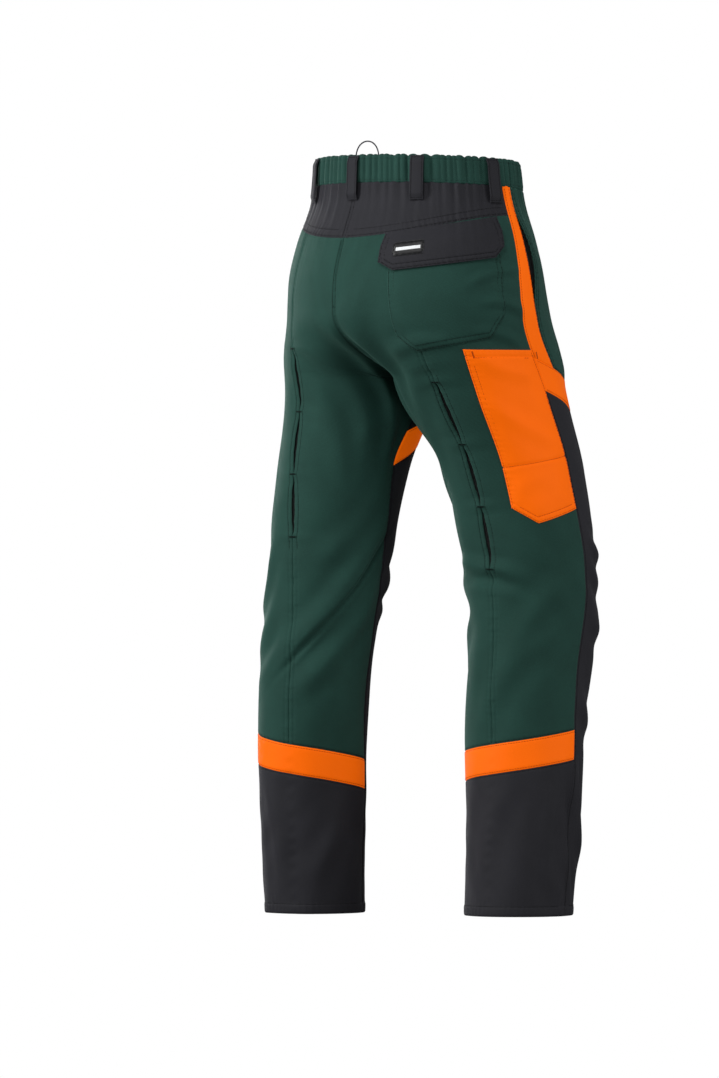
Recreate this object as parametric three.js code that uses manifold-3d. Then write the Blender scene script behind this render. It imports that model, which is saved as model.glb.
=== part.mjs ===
// Forestry work trousers with cut protection, worn shape, standing with the right leg one step forward.
// Millimetres, +Z up. The wearer looks along -Y, with the left leg at +X. The origin is the centre of the
// waist opening, level with the waistband's upper edge, where the wearer's waist holds the garment up.
//
// The cloth follows one skin: at every height a leg is a closed loop round its own axis, and above the
// crotch the two loops open into one oval body. Angles go round a leg: 0 is outwards, 90 is the back,
// 180 is the inside and 270 the front. Every panel is a patch of that skin with a thickness.
import * as THREE from "three";
import { mergeVertices } from "three/addons/utils/BufferGeometryUtils.js";
import Module from "manifold-3d";

const wasm = await Module();
wasm.setup();

// ---------------------------------------------------------------- driving dimensions
const CLOTH = 2; // outer cloth with its seam allowance
const PATCH = 1.5; // a second layer sewn on top
const SEAM = 1.2; // gap between two panels that are sewn edge to edge
const LIFT = 1.4; // gap between two layers that lie on each other
const POUCH = 2.4; // room inside a patch pocket that lies flat

const HEM_Z = -1058;
const KNEE_Z = -600;
const KNEE_FLEX = 75; // degrees that a knee bends
const KNEE_ABOVE = 15; // of which this much is cut out above the knee axis, at the back

const BAND_TALL = 38;
const BAND_TOP = 2;
const YOKE_SIDE = -78; // lower edge of the yoke at the side seam
const YOKE_DIP = 30; // how much lower it is at the centre back

const THIGH_BAND = { top: -280, topFall: 98, bottom: -322, bottomFall: 104 };
const CALF_BAND = { top: -798, fall: 43, tall: 41 };

// Body stations: height, half width, front, back.
const BODY = [
  [30, 161, -120, 123],
  [-20, 165, -122, 124],
  [-60, 173, -126, 128],
  [-110, 190, -140, 147],
  [-160, 199, -155, 162],
  [-210, 203, -165, 165],
  [-270, 203, -168, 161],
  [-340, 201, -166, 150],
];
// Leg stations: height, distance of the axis from the centre, half width, half depth.
const LEG = [
  [30, 78, 90, 120],
  [-150, 90, 100, 150],
  [-250, 97, 100, 138],
  [-330, 99, 94, 116],
  [-434, 105, 86, 101],
  [-560, 114, 82, 94],
  [-744, 124, 76, 85],
  [-860, 131, 74, 79],
  [HEM_Z, 140, 71, 75],
];
const BODY_ENDS = -212; // above this the section is the body's oval
const LEGS_START = -305; // below this it is the leg's own oval

// How each leg stands: height, shift along Y, twist in degrees, and its size against the leg stations.
const STANCE = {
  left: {
    sign: 1,
    steps: [
      [-130, 0, 0, 1],
      [-225, 2, 0, 1],
      [-330, 20, 3, 0.99],
      [-434, 47, 8, 0.98],
      [-600, 66, 20, 0.975],
      [-744, 85, 27, 0.975],
      [-900, 78, 28, 0.975],
      [HEM_Z, 66, 28, 0.975],
    ],
  },
  right: {
    sign: -1,
    steps: [
      [-130, 0, 0, 1],
      [-225, -4, 0, 1],
      [-330, -42, 0, 1.03],
      [-434, -85, 0, 1.06],
      [-600, -112, 0, 1.085],
      [-744, -95, 0, 1.065],
      [-900, -77, 0, 1.065],
      [HEM_Z, -61, 0, 1.055],
    ],
  },
};
const SIDES = ["left", "right"];

// Vents along the back seam: height of the first opening's top, and of the last one's bottom.
const VENT = { left: [-262, -527], right: [-311, -572] };
const VENT_OPENINGS = 3;
const VENT_GAPE = 1.3; // how far each edge of an opening draws back at its widest

const BACK_SEAM = { left: 84, right: 79 }; // degrees: the seam with the vents
const FLY_X = 15; // half the width of the fly opening
const FLY_BOTTOM = -190;

// ---------------------------------------------------------------- cloth colours
const cloth = (color) => new THREE.MeshStandardMaterial({ color, roughness: 0.85, metalness: 0 });
const GREEN = cloth(0x23433b);
const DARK = cloth(0x2b2a30);
const ORANGE = cloth(0xf46f0a);
const LINING = cloth(0x3b3d40);
const WADDING = cloth(0xd9d4c4);
const ELASTIC = cloth(0xe4e2dc);
const CORD = cloth(0x3a3c40);
const METAL = new THREE.MeshStandardMaterial({ color: 0x6f6d68, roughness: 0.4, metalness: 1 });

// ---------------------------------------------------------------- small maths
const RAD = Math.PI / 180;
const mix = (a, b, t) => a + (b - a) * t;
const smooth = (t) => {
  const s = Math.min(1, Math.max(0, t));
  return s * s * (3 - 2 * s);
};

// Smooth curve through the stations, which go down from the highest: values at height z.
function at(stations, z) {
  const last = stations.length - 1;
  if (z >= stations[0][0]) return stations[0].slice(1);
  if (z <= stations[last][0]) return stations[last].slice(1);
  let i = 0;
  while (stations[i + 1][0] > z) i += 1;
  const p = [stations[Math.max(i - 1, 0)], stations[i], stations[i + 1], stations[Math.min(i + 2, last)]];
  const h = p[2][0] - p[1][0];
  const t = (z - p[1][0]) / h;
  return p[1].slice(1).map((_, k) => {
    const slope = (a, b) => (b[0] === a[0] ? 0 : (b[k + 1] - a[k + 1]) / (b[0] - a[0]));
    const m1 = slope(p[0], p[2]) * h;
    const m2 = slope(p[1], p[3]) * h;
    const [a, b] = [p[1][k + 1], p[2][k + 1]];
    return (
      a * (2 * t ** 3 - 3 * t ** 2 + 1) +
      m1 * (t ** 3 - 2 * t ** 2 + t) +
      b * (3 * t ** 2 - 2 * t ** 3) +
      m2 * (t ** 3 - t ** 2)
    );
  });
}

// ---------------------------------------------------------------- the skin
// Distance from a leg's axis to the cloth, at angle (degrees, twist included) and height.
function reach(angle, z, size = 1) {
  const [cx, halfX, halfY] = at(LEG, z);
  const [c, s] = [Math.cos(angle * RAD), Math.sin(angle * RAD)];
  const leg = size / Math.hypot(c / halfX, s / halfY);
  const share = smooth((z - LEGS_START) / (BODY_ENDS - LEGS_START));
  if (share === 0) return leg;
  const [width, front, back] = at(BODY, z);
  const depth = (back - front) / 2;
  const middle = (back + front) / 2;
  // The ray (cx + r c, r s) meets the body's oval where a r^2 + b r + k = 0.
  const a = (c / width) ** 2 + (s / depth) ** 2;
  const b = (2 * cx * c) / width ** 2 - (2 * middle * s) / depth ** 2;
  const k = (cx / width) ** 2 + (middle / depth) ** 2 - 1;
  const body = (-b + Math.sqrt(b * b - 4 * a * k)) / (2 * a);
  return mix(leg, body, share);
}

function rawSkin(side, angle, z) {
  const { sign, steps } = STANCE[side];
  const [shift, twist, size] = at(steps, z);
  const r = reach(angle + twist, z, size);
  const turned = (angle + twist) * RAD;
  const out = at(LEG, z)[0] + r * Math.cos(turned);
  // Near the crotch the cloth at the centre seam stays put, and only the leg's outside moves.
  const held = smooth((z + 425) / 120);
  const moves = mix(1, smooth(Math.abs(out) / 70), held);
  return new THREE.Vector3(sign * out, r * Math.sin(turned) + shift * moves, z);
}

// A point of the cloth, lifted by offset along the skin's own outward direction.
function skin(side, angle, z, offset = 0) {
  const p = rawSkin(side, angle, z);
  if (offset !== 0) {
    const across = rawSkin(side, angle + 0.5, z).sub(rawSkin(side, angle - 0.5, z));
    const up = rawSkin(side, angle, z + 1).sub(rawSkin(side, angle, z - 1));
    const n = across.cross(up).normalize();
    if (side === "right") n.negate();
    p.addScaledVector(n, offset);
  }
  const sign = STANCE[side].sign;
  if (sign * p.x < SEAM / 2) p.x = (sign * SEAM) / 2;
  return p;
}

// Angle at which the cloth is at a distance x from the centre plane, at the front or back.
// It is null where the cloth stays further out.
function angleAt(side, x, z, end) {
  const sign = STANCE[side].sign;
  const f = (angle) => sign * rawSkin(side, angle, z).x - x;
  let [outer, inner] = [end === "back" ? 80 : 280, 180];
  if (f(inner) >= 0) return null;
  for (let i = 0; i < 40; i += 1) {
    const m = (outer + inner) / 2;
    if (f(m) > 0) outer = m;
    else inner = m;
  }
  return (outer + inner) / 2;
}

const CROTCH_Z = (() => {
  let [low, high] = [LEGS_START, BODY_ENDS];
  for (let i = 0; i < 40; i += 1) {
    const m = (low + high) / 2;
    if (angleAt("left", 0, m, "back") === null) low = m;
    else high = m;
  }
  return high;
})();

// ---------------------------------------------------------------- seam lines
const sideSeam = (z) => 358 - 11 * smooth((-z - 225) / 100);
const inseam = (z) => 180 + 6 * smooth((CROTCH_Z - z) / 60);
const backRise = (side) => (z) => angleAt(side, 0, z, "back") ?? inseam(z);
const flyHalf = (z) => FLY_X * smooth((z - FLY_BOTTOM - 2) / 14);
const frontRise = (side) => (z) => angleAt(side, flyHalf(z), z, "front") ?? inseam(z);

// The dark gusset of the inner thigh starts as a point under the crotch and widens down to the thigh band.
const GUSSET = { point: -300, top: -313, full: -366, wide: 36 };
const gussetWidth = (z) => {
  const down = (GUSSET.point - z) / (GUSSET.point - GUSSET.full);
  return GUSSET.wide * Math.min(1, Math.max(0, down));
};
const gussetEdge = (side) => (z) => frontRise(side)(z) + gussetWidth(z);

// Share of the way round the front from the side seam to the inseam, and round the back.
const roundFront = (angle) => (347 - angle) / 161;
const roundBack = (angle) => (angle + 13) / 199;
const bandTop = (angle) => THIGH_BAND.top - THIGH_BAND.topFall * roundFront(angle);
const bandBottom = (angle) => THIGH_BAND.bottom - THIGH_BAND.bottomFall * roundFront(angle);
const calfTop = (angle) => CALF_BAND.top - CALF_BAND.fall * roundBack(angle);

// Where a point of the body is round the waist: 0 at the centre back, 90 at the side, 180 at the front.
function waistAngle(p) {
  const [width, front, back] = at(BODY, p.z);
  return Math.atan2(Math.abs(p.x) / width, (p.y - (front + back) / 2) / ((back - front) / 2)) / RAD;
}
const waistTop = (y) => BAND_TOP + 0.05 * y - 12 * (Math.min(y, 0) / 124) ** 4;
const waistBottom = (y) => waistTop(y) - BAND_TALL;
const yokeBottom = (waist) => YOKE_SIDE - YOKE_DIP * (1 - smooth(waist / 92));
const yokeEdge = (_, here) => (here ? yokeBottom(waistAngle(here)) : YOKE_SIDE);
// The slanted pocket's edge strip widens from 15 mm at the waistband to 36 mm at the thigh band.
const stripWidth = (z) => mix(15, 36, smooth((-z - 30) / 240));
const stripEdge = (side) => (z) => sideSeam(z) - stripWidth(z) / reach(sideSeam(z), z) / RAD;
// The pocket's mouth gapes between the strip and the front panel.
const MOUTH = { top: -72, bottom: -204, gape: 2.6 };
const mouth = (z) => {
  const down = (MOUTH.top - z) / (MOUTH.top - MOUTH.bottom);
  return down > 0 && down < 1 ? MOUTH.gape * Math.sin(Math.PI * down) : 0;
};
const frontEdge = (side) => (z) => stripEdge(side)(z) - mouth(z) / reach(345, z) / RAD;

// ---------------------------------------------------------------- solids
const evenly = (n, from = 0, to = 1) => Array.from({ length: n + 1 }, (_, i) => mix(from, to, i / n));

// Closed solid between an outer and an inner sheet of points, rows by columns.
function slab(outer, inner) {
  const [rows, columns] = [outer.length, outer[0].length];
  const positions = [outer, inner].flat(2).flatMap((p) => [p.x, p.y, p.z]);
  const id = (layer, i, j) => layer * rows * columns + i * columns + j;
  const index = [];
  const quad = (a, b, c, d) => index.push(a, b, c, a, c, d);
  for (let i = 0; i < rows - 1; i += 1)
    for (let j = 0; j < columns - 1; j += 1) {
      quad(id(0, i, j), id(0, i + 1, j), id(0, i + 1, j + 1), id(0, i, j + 1));
      quad(id(1, i, j), id(1, i, j + 1), id(1, i + 1, j + 1), id(1, i + 1, j));
    }
  for (let i = 0; i < rows - 1; i += 1) {
    quad(id(0, i, 0), id(1, i, 0), id(1, i + 1, 0), id(0, i + 1, 0));
    quad(id(0, i, columns - 1), id(0, i + 1, columns - 1), id(1, i + 1, columns - 1), id(1, i, columns - 1));
  }
  for (let j = 0; j < columns - 1; j += 1) {
    quad(id(0, 0, j), id(0, 0, j + 1), id(1, 0, j + 1), id(1, 0, j));
    quad(id(0, rows - 1, j), id(1, rows - 1, j), id(1, rows - 1, j + 1), id(0, rows - 1, j + 1));
  }
  const geometry = new THREE.BufferGeometry();
  geometry.setAttribute("position", new THREE.BufferAttribute(new Float32Array(positions), 3));
  geometry.setIndex(index);
  return solidOf(geometry);
}

// A three.js geometry as a solid, turned round if its faces point inwards.
function solidOf(geometry) {
  const bare = geometry.clone();
  bare.deleteAttribute("normal");
  bare.deleteAttribute("uv");
  const merged = mergeVertices(bare, 1e-4);
  const faces = new Uint32Array(merged.index.array);
  const vertProperties = merged.attributes.position.array;
  const made = (triVerts) => new wasm.Manifold(new wasm.Mesh({ numProp: 3, vertProperties, triVerts }));
  const solid = made(faces);
  if (solid.volume() > 0) return solid;
  for (let i = 0; i < faces.length; i += 3) [faces[i], faces[i + 1]] = [faces[i + 1], faces[i]];
  return made(faces);
}

function geometryOf(solid) {
  const mesh = solid.getMesh();
  const positions = new Float32Array(mesh.numVert * 3);
  for (let i = 0; i < mesh.numVert; i += 1)
    positions.set(mesh.vertProperties.subarray(i * mesh.numProp, i * mesh.numProp + 3), i * 3);
  const geometry = new THREE.BufferGeometry();
  geometry.setAttribute("position", new THREE.BufferAttribute(positions, 3));
  geometry.setIndex(new THREE.BufferAttribute(new Uint32Array(mesh.triVerts), 1));
  return geometry;
}

const trousers = new THREE.Group();
function add(name, solid, material, parent = trousers) {
  const mesh = new THREE.Mesh(geometryOf(solid), material);
  mesh.name = name;
  parent.add(mesh);
  return mesh;
}

// A patch of a leg's skin between two seam lines (angles, functions of height) and two edges (heights,
// functions of angle and of the point there), from offset low to offset high. trim draws its edges in.
function panel(side, { from, to, top, bottom, low = -CLOTH, high = 0, across, rows, trim = SEAM / 2 }) {
  const grid = [[], []];
  for (const v of rows) {
    const line = [[], []];
    for (const u of evenly(across)) {
      let z = mix(top(from(-200), null), bottom(from(-200), null), v);
      let angle = mix(from(z), to(z), u);
      for (let k = 0; k < 12; k += 1) {
        const here = rawSkin(side, angle, z);
        z = mix(top(angle, here) - trim, bottom(angle, here) + trim, v);
        const inset = (trim / reach(angle, z)) / RAD;
        const [a, b] = [from(z), to(z)];
        angle = mix(a + Math.sign(b - a) * inset, b - Math.sign(b - a) * inset, u);
      }
      line[0].push(skin(side, angle, z, high));
      line[1].push(skin(side, angle, z, low));
    }
    grid[0].push(line[0]);
    grid[1].push(line[1]);
  }
  return slab(grid[0], grid[1]);
}
const flat = (value) => () => value;

// A patch of the body's oval, given by waist angle (negative on the left) and height.
function waistPoint(angle, z, offset) {
  const [width, front, back] = at(BODY, z);
  const point = (t) =>
    new THREE.Vector3(
      -width * Math.sin(t * RAD),
      (front + back) / 2 + ((back - front) / 2) * Math.cos(t * RAD),
      z,
    );
  const p = point(angle);
  const along = point(angle + 0.5).sub(point(angle - 0.5)).normalize();
  return p.add(new THREE.Vector3(-along.y, along.x, 0).multiplyScalar(-offset));
}
function hoop({ from, to, top, bottom, low, high, across, rows = evenly(1) }) {
  const layer = (offset) =>
    rows.map((v) =>
      evenly(across).map((u) => {
        const angle = mix(from, to, u);
        const y = waistPoint(angle, -10, 0).y;
        return waistPoint(angle, mix(top(y), bottom(y), v), offset);
      }),
    );
  return slab(layer(high), layer(low));
}

// ---------------------------------------------------------------- knee cutters
// Seen from the side, everything above the knee lies in one sector round the knee's axis and the lower
// leg in another; the wedge between them at the back is the cloth that crumples when the knee bends.
function kneeFrame(side) {
  const { sign, steps } = STANCE[side];
  const [shift, twist] = at(steps, KNEE_Z);
  const turn = side === "left" ? twist : -twist;
  return { centre: new THREE.Vector3(sign * at(LEG, KNEE_Z)[0], shift, KNEE_Z), turn: turn * RAD };
}
function sector(side, fromDeg, toDeg, shift) {
  const far = 1500;
  const shape = new THREE.Shape();
  shape.moveTo(0, 0);
  for (const a of evenly(6, fromDeg, toDeg)) shape.lineTo(far * Math.cos(a * RAD), far * Math.sin(a * RAD));
  shape.closePath();
  const geometry = new THREE.ExtrudeGeometry(shape, { depth: 2 * far, bevelEnabled: false });
  geometry.translate(shift[0], shift[1], -far);
  // Shape X is the leg's back and shape Y is up, and the extrusion runs along the knee's axis.
  geometry.applyMatrix4(
    new THREE.Matrix4().makeBasis(
      new THREE.Vector3(0, 1, 0),
      new THREE.Vector3(0, 0, 1),
      new THREE.Vector3(1, 0, 0),
    ),
  );
  const { centre, turn } = kneeFrame(side);
  geometry.rotateZ(turn);
  geometry.translate(centre.x, centre.y, centre.z);
  return solidOf(geometry);
}
const KNEE = {};
for (const side of SIDES) {
  KNEE[side] = {
    upper: sector(side, KNEE_ABOVE, 180, [0, SEAM / 2]),
    lower: sector(side, 180, 360 - (KNEE_FLEX - KNEE_ABOVE), [0, -SEAM / 2]),
    back: sector(side, KNEE_ABOVE - KNEE_FLEX, KNEE_ABOVE, [SEAM, 0]),
  };
}
function addAtKnee(name, side, solid, material) {
  add(`${side}_${name}_upper`, solid.intersect(KNEE[side].upper), material);
  add(`${side}_${name}_lower`, solid.intersect(KNEE[side].lower), material);
}

// ---------------------------------------------------------------- leg panels
// Rows of a back panel: the vent's openings get a row at each end and three between.
function ventGape(side) {
  const [top, bottom] = VENT[side];
  return (z) => {
    const t = ((top - z) / (top - bottom)) * VENT_OPENINGS;
    return t <= 0 || t >= VENT_OPENINGS ? 0 : VENT_GAPE * Math.abs(Math.sin(Math.PI * t));
  };
}
const BACK_PANEL = { top: -95, bottom: -815 }; // the back panels' height half way round, roughly
function backRows(side, top, bottom) {
  const [ventTop, ventBottom] = VENT[side];
  const heights = [
    ...evenly(7, top, ventTop).slice(0, -1),
    ...evenly(VENT_OPENINGS * 4, ventTop, ventBottom),
    ...evenly(5, ventBottom, bottom).slice(1),
  ];
  return heights.map((z) => (top - z) / (top - bottom));
}

// The hems are cut level, so that each leg ends in a flat face.
const aboveHem = solidOf(new THREE.BoxGeometry(2000, 2000, 2000).translate(0, 0, HEM_Z + 1000));
const PAST_HEM = HEM_Z - 2;
// Mesh behind the vents: half its width in degrees, and its depth under the cloth.
const MESH = { half: 7, low: -7.2, high: -6 };
// Cut-protection pad: its edges in degrees, how far above the hem it ends, and its depth under the cloth.
const PAD = { outer: 336, inner: 202, aboveHem: 55, low: -13.5, high: -6.5 };
const FRONT_ROWS = [0, 0.03, 0.06, 0.09, 0.13, 0.18, 0.24, 0.32, 0.4, 0.48, 0.57, 0.66, 0.76, 0.88, 1];

for (const side of SIDES) {
  const gape = ventGape(side);
  const atVent = (sign) => (z) => BACK_SEAM[side] + (sign * gape(z)) / reach(BACK_SEAM[side], z) / RAD;
  const rows = backRows(side, BACK_PANEL.top, BACK_PANEL.bottom);
  const outer = panel(side, {
    from: (z) => sideSeam(z) - 360,
    to: atVent(-1),
    top: yokeEdge,
    bottom: calfTop,
    across: 5,
    rows,
  });
  addAtKnee("back_outer", side, outer, GREEN);
  const inner = panel(side, {
    from: atVent(1),
    to: backRise(side),
    top: yokeEdge,
    bottom: calfTop,
    across: 6,
    rows,
  });
  addAtKnee("back_inner", side, inner, GREEN);
  const backHalf = { from: (z) => sideSeam(z) - 360, to: inseam, across: 11 };
  const kneeBack = panel(side, { ...backHalf, top: flat(KNEE_Z + 60), bottom: calfTop, rows: evenly(6) });
  add(`${side}_knee_back`, kneeBack.intersect(KNEE[side].back), GREEN);

  const [ventTop, ventBottom] = VENT[side];
  add(
    `${side}_vent_mesh`,
    panel(side, {
      from: flat(BACK_SEAM[side] - MESH.half),
      to: flat(BACK_SEAM[side] + MESH.half),
      top: flat(ventTop + 12),
      bottom: flat(ventBottom - 4),
      low: MESH.low,
      high: MESH.high,
      across: 2,
      rows: evenly(12),
    }),
    LINING,
  );

  const front = panel(side, {
    from: sideSeam,
    to: inseam,
    top: bandBottom,
    bottom: flat(PAST_HEM),
    across: 9,
    rows: FRONT_ROWS,
  });
  addAtKnee("front_leg", side, front.intersect(aboveHem), DARK);
  add(
    `${side}_thigh_band`,
    panel(side, {
      from: sideSeam,
      to: inseam,
      top: bandTop,
      bottom: bandBottom,
      across: 9,
      rows: evenly(3),
    }),
    ORANGE,
  );
  add(
    `${side}_thigh_gusset`,
    panel(side, {
      from: gussetEdge(side),
      to: frontRise(side),
      top: flat(GUSSET.top),
      bottom: bandTop,
      across: 3,
      rows: evenly(6),
      trim: SEAM * 1.3,
    }),
    DARK,
  );

  const protection = panel(side, {
    from: flat(PAD.outer),
    to: flat(PAD.inner),
    top: (angle) => bandTop(angle) - 6,
    bottom: flat(HEM_Z + PAD.aboveHem),
    low: PAD.low,
    high: PAD.high,
    across: 7,
    rows: FRONT_ROWS,
  });
  addAtKnee("cut_protection", side, protection, WADDING);

  add(
    `${side}_calf_band`,
    panel(side, { ...backHalf, top: calfTop, bottom: (a) => calfTop(a) - CALF_BAND.tall, rows: evenly(1) }),
    ORANGE,
  );
  const lowerBack = panel(side, {
    ...backHalf,
    top: (a) => calfTop(a) - CALF_BAND.tall,
    bottom: flat(PAST_HEM),
    rows: evenly(4),
  });
  add(`${side}_lower_back`, lowerBack.intersect(aboveHem), DARK);
}

// ---------------------------------------------------------------- hips, side pockets
const bandLine = (_, here) => (here ? waistBottom(here.y) : waistBottom(0));
// Pocket bag: its inner edge in degrees, its height, and its depth under the cloth.
const BAG = { inner: 296, top: -66, bottom: -252, low: -10, high: -5 };
for (const side of SIDES) {
  add(
    `${side}_front_hip`,
    panel(side, {
      from: frontEdge(side),
      to: gussetEdge(side),
      top: bandLine,
      bottom: bandTop,
      across: 8,
      rows: evenly(16),
    }),
    GREEN,
  );
  add(
    `${side}_pocket_strip`,
    panel(side, {
      from: sideSeam,
      to: stripEdge(side),
      top: bandLine,
      bottom: bandTop,
      across: 1,
      rows: evenly(12),
    }),
    ORANGE,
  );
  // Pouch of lining cloth, open along the slanted mouth.
  const bag = { across: 5, rows: evenly(5), trim: 0 };
  const outside = panel(side, {
    ...bag,
    from: (z) => stripEdge(side)(z) + 2,
    to: flat(BAG.inner),
    top: flat(BAG.top),
    bottom: flat(BAG.bottom),
    low: BAG.low,
    high: BAG.high,
  });
  const room = panel(side, {
    ...bag,
    from: (z) => stripEdge(side)(z) + 8,
    to: flat(BAG.inner + 1.5),
    top: flat(BAG.top - 3),
    bottom: flat(BAG.bottom + 3),
    low: BAG.low + 1,
    high: BAG.high - 1,
  });
  add(`${side}_pocket_bag`, outside.subtract(room), LINING);
}

// ---------------------------------------------------------------- yoke, waistband, elastic
for (const side of SIDES) {
  add(
    `${side}_yoke`,
    panel(side, {
      from: (z) => sideSeam(z) - 360,
      to: backRise(side),
      top: bandLine,
      bottom: yokeEdge,
      across: 11,
      rows: evenly(3),
    }),
    DARK,
  );
}
const BAND_END = 174; // waist angle where the waistband stops beside the fly
const ring = { across: 40, rows: evenly(2), top: waistTop, bottom: (y) => waistBottom(y) + SEAM };
const TUNNEL = { top: (y) => waistTop(y) - 4, bottom: (y) => waistBottom(y) + 5 };
const bandBlock = hoop({ ...ring, from: -BAND_END, to: BAND_END, low: -7, high: 0 });
const tunnel = hoop({
  ...ring,
  ...TUNNEL,
  rows: evenly(1),
  from: -BAND_END - 4,
  to: BAND_END + 4,
  low: -5,
  high: -2,
});
add("waistband", bandBlock.subtract(tunnel), GREEN);
add(
  "waist_elastic",
  hoop({
    across: 36,
    from: -BAND_END + 6,
    to: BAND_END - 6,
    top: (y) => waistTop(y) - 5,
    bottom: (y) => waistBottom(y) + 6,
    low: -4.1,
    high: -2.9,
  }),
  ELASTIC,
);

// ---------------------------------------------------------------- belt loops
const LOOP = { wide: 20, thick: 1.8, room: 5, tall: 62, bend: 0.16 };
const LOOP_FOOT_Z = -10; // height of the point of the waistband that a loop is measured from
// A belt loop stands off the waistband by its room, and comes down to the cloth over its two bends.
function beltLoop(name, angle) {
  const foot = waistPoint(angle, LOOP_FOOT_Z, 0);
  const top = waistTop(foot.y) - 1;
  const bottom = top - LOOP.tall;
  const out = waistPoint(angle, LOOP_FOOT_Z, 1).sub(foot).normalize();
  // Distance of the cloth from the vertical through the foot, at height z.
  const clothAt = (z) => waistPoint(angle, z, 0).sub(foot).dot(out);
  const lift = (t) => LIFT + LOOP.room * smooth(Math.min(t, 1 - t) / LOOP.bend);
  const steps = evenly(10);
  const inner = steps.map((t) => {
    const z = mix(top, bottom, t);
    return [clothAt(z) + lift(t), z];
  });
  const shape = new THREE.Shape();
  inner.forEach(([r, z], i) => (i ? shape.lineTo(r, z) : shape.moveTo(r, z)));
  [...inner].reverse().forEach(([r, z]) => shape.lineTo(r + LOOP.thick, z));
  shape.closePath();
  const geometry = new THREE.ExtrudeGeometry(shape, { depth: LOOP.wide, bevelEnabled: false });
  geometry.translate(0, 0, -LOOP.wide / 2);
  const side = new THREE.Vector3().crossVectors(out, new THREE.Vector3(0, 0, 1));
  geometry.applyMatrix4(new THREE.Matrix4().makeBasis(out, new THREE.Vector3(0, 0, 1), side));
  geometry.translate(foot.x, foot.y, 0);
  add(name, solidOf(geometry), DARK);
}
beltLoop("belt_loop_centre_back", 0);
for (const [place, angle] of Object.entries({ back: 37.5, side: 83, front: 152 })) {
  beltLoop(`belt_loop_right_${place}`, angle);
  beltLoop(`belt_loop_left_${place}`, -angle);
}

// ---------------------------------------------------------------- pockets sewn on the right leg
// A patch pocket is a raised sheet with a rim down to the leg, and open at the top.
function patchPocket(spec, mouthTop) {
  const block = panel("right", { ...spec, low: LIFT, high: LIFT + POUCH + PATCH, trim: 0 });
  const room = panel("right", {
    ...spec,
    from: (z) => spec.from(z) + spec.rim,
    to: (z) => spec.to(z) - spec.rim,
    top: mouthTop,
    bottom: (a, here) => spec.bottom(a, here) + 3,
    low: -0.2,
    high: LIFT + POUCH,
    trim: 0,
  });
  return block.subtract(room);
}
// Back pocket: its edges round the seat, and the bottom with two cut corners, each given by the angle
// where the cut begins and how steep it is.
const SEAT = { from: 15, to: 91, top: -118, bottom: -246, fall: 0.33, cuts: [31, 1.8, 80.5, 2.4] };
const seatBottom = (a) => {
  const [first, firstSlope, second, secondSlope] = SEAT.cuts;
  const cut = Math.max(0, first - a) * firstSlope + Math.max(0, a - second) * secondSlope;
  return SEAT.bottom - SEAT.fall * (a - SEAT.from) + cut;
};
add(
  "back_pocket",
  patchPocket(
    {
      from: flat(SEAT.from),
      to: flat(SEAT.to),
      top: flat(SEAT.top),
      bottom: seatBottom,
      across: 10,
      rows: evenly(6),
      rim: 1.2,
    },
    flat(SEAT.top + 10),
  ),
  GREEN,
);

// Rule pocket on the thigh: from the side seam back, pointed at the bottom.
const RULE = { top: -266, seam: -420, tilt: 10, left: 53, point: 33, deep: -508, shoulder: -487 };
const ruleBottom = (a) =>
  a > RULE.point
    ? mix(RULE.deep, RULE.shoulder, (a - RULE.point) / (RULE.left - RULE.point))
    : mix(RULE.deep, RULE.shoulder, (RULE.point - a) / (RULE.point + 13));
const ruleShape = { from: (z) => sideSeam(z) - 360 + 1, to: flat(RULE.left), bottom: ruleBottom, rim: 2 };
const rulePocket = patchPocket(
  { ...ruleShape, top: flat(RULE.top), across: 8, rows: evenly(8) },
  flat(RULE.top + 12),
);
const rulePart = (sign) => {
  const keep = new THREE.BoxGeometry(900, 900, 400).translate(0, 0, sign * (200 + SEAM / 2));
  keep.rotateX(-RULE.tilt * RAD).translate(0, -60, RULE.seam);
  return rulePocket.intersect(solidOf(keep));
};
add("thigh_pocket_upper", rulePart(1), ORANGE);
add("thigh_pocket_lower", rulePart(-1), ORANGE);

// ---------------------------------------------------------------- back pocket flap
const FLAP = { from: 13, to: 96, top: -80, fall: 22, tall: 57, corner: 14 };
const flapTop = (a) => FLAP.top - (FLAP.fall * (a - FLAP.from)) / (FLAP.to - FLAP.from);
const flapBottom = (a) => {
  const edge = Math.min(a - FLAP.from, FLAP.to - a) * 1.7;
  return flapTop(a) - FLAP.tall + Math.max(0, FLAP.corner - edge);
};
const flap = new THREE.Group();
trousers.add(flap);
const FLAP_LIFT = LIFT + POUCH + PATCH + 1.2;
add(
  "back_pocket_flap",
  panel("right", {
    from: flat(FLAP.from),
    to: flat(FLAP.to),
    top: flapTop,
    bottom: flapBottom,
    low: FLAP_LIFT,
    high: FLAP_LIFT + 2,
    across: 12,
    rows: evenly(3),
    trim: 0,
  }),
  DARK,
  flap,
);
add(
  "flap_label",
  panel("right", {
    from: flat(70),
    to: flat(88.5),
    top: (a) => flapTop(a) - 19,
    bottom: (a) => flapTop(a) - 39,
    low: FLAP_LIFT + 2.7,
    high: FLAP_LIFT + 3.6,
    across: 3,
    rows: evenly(1),
    trim: 0,
  }),
  DARK,
  flap,
);

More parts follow.
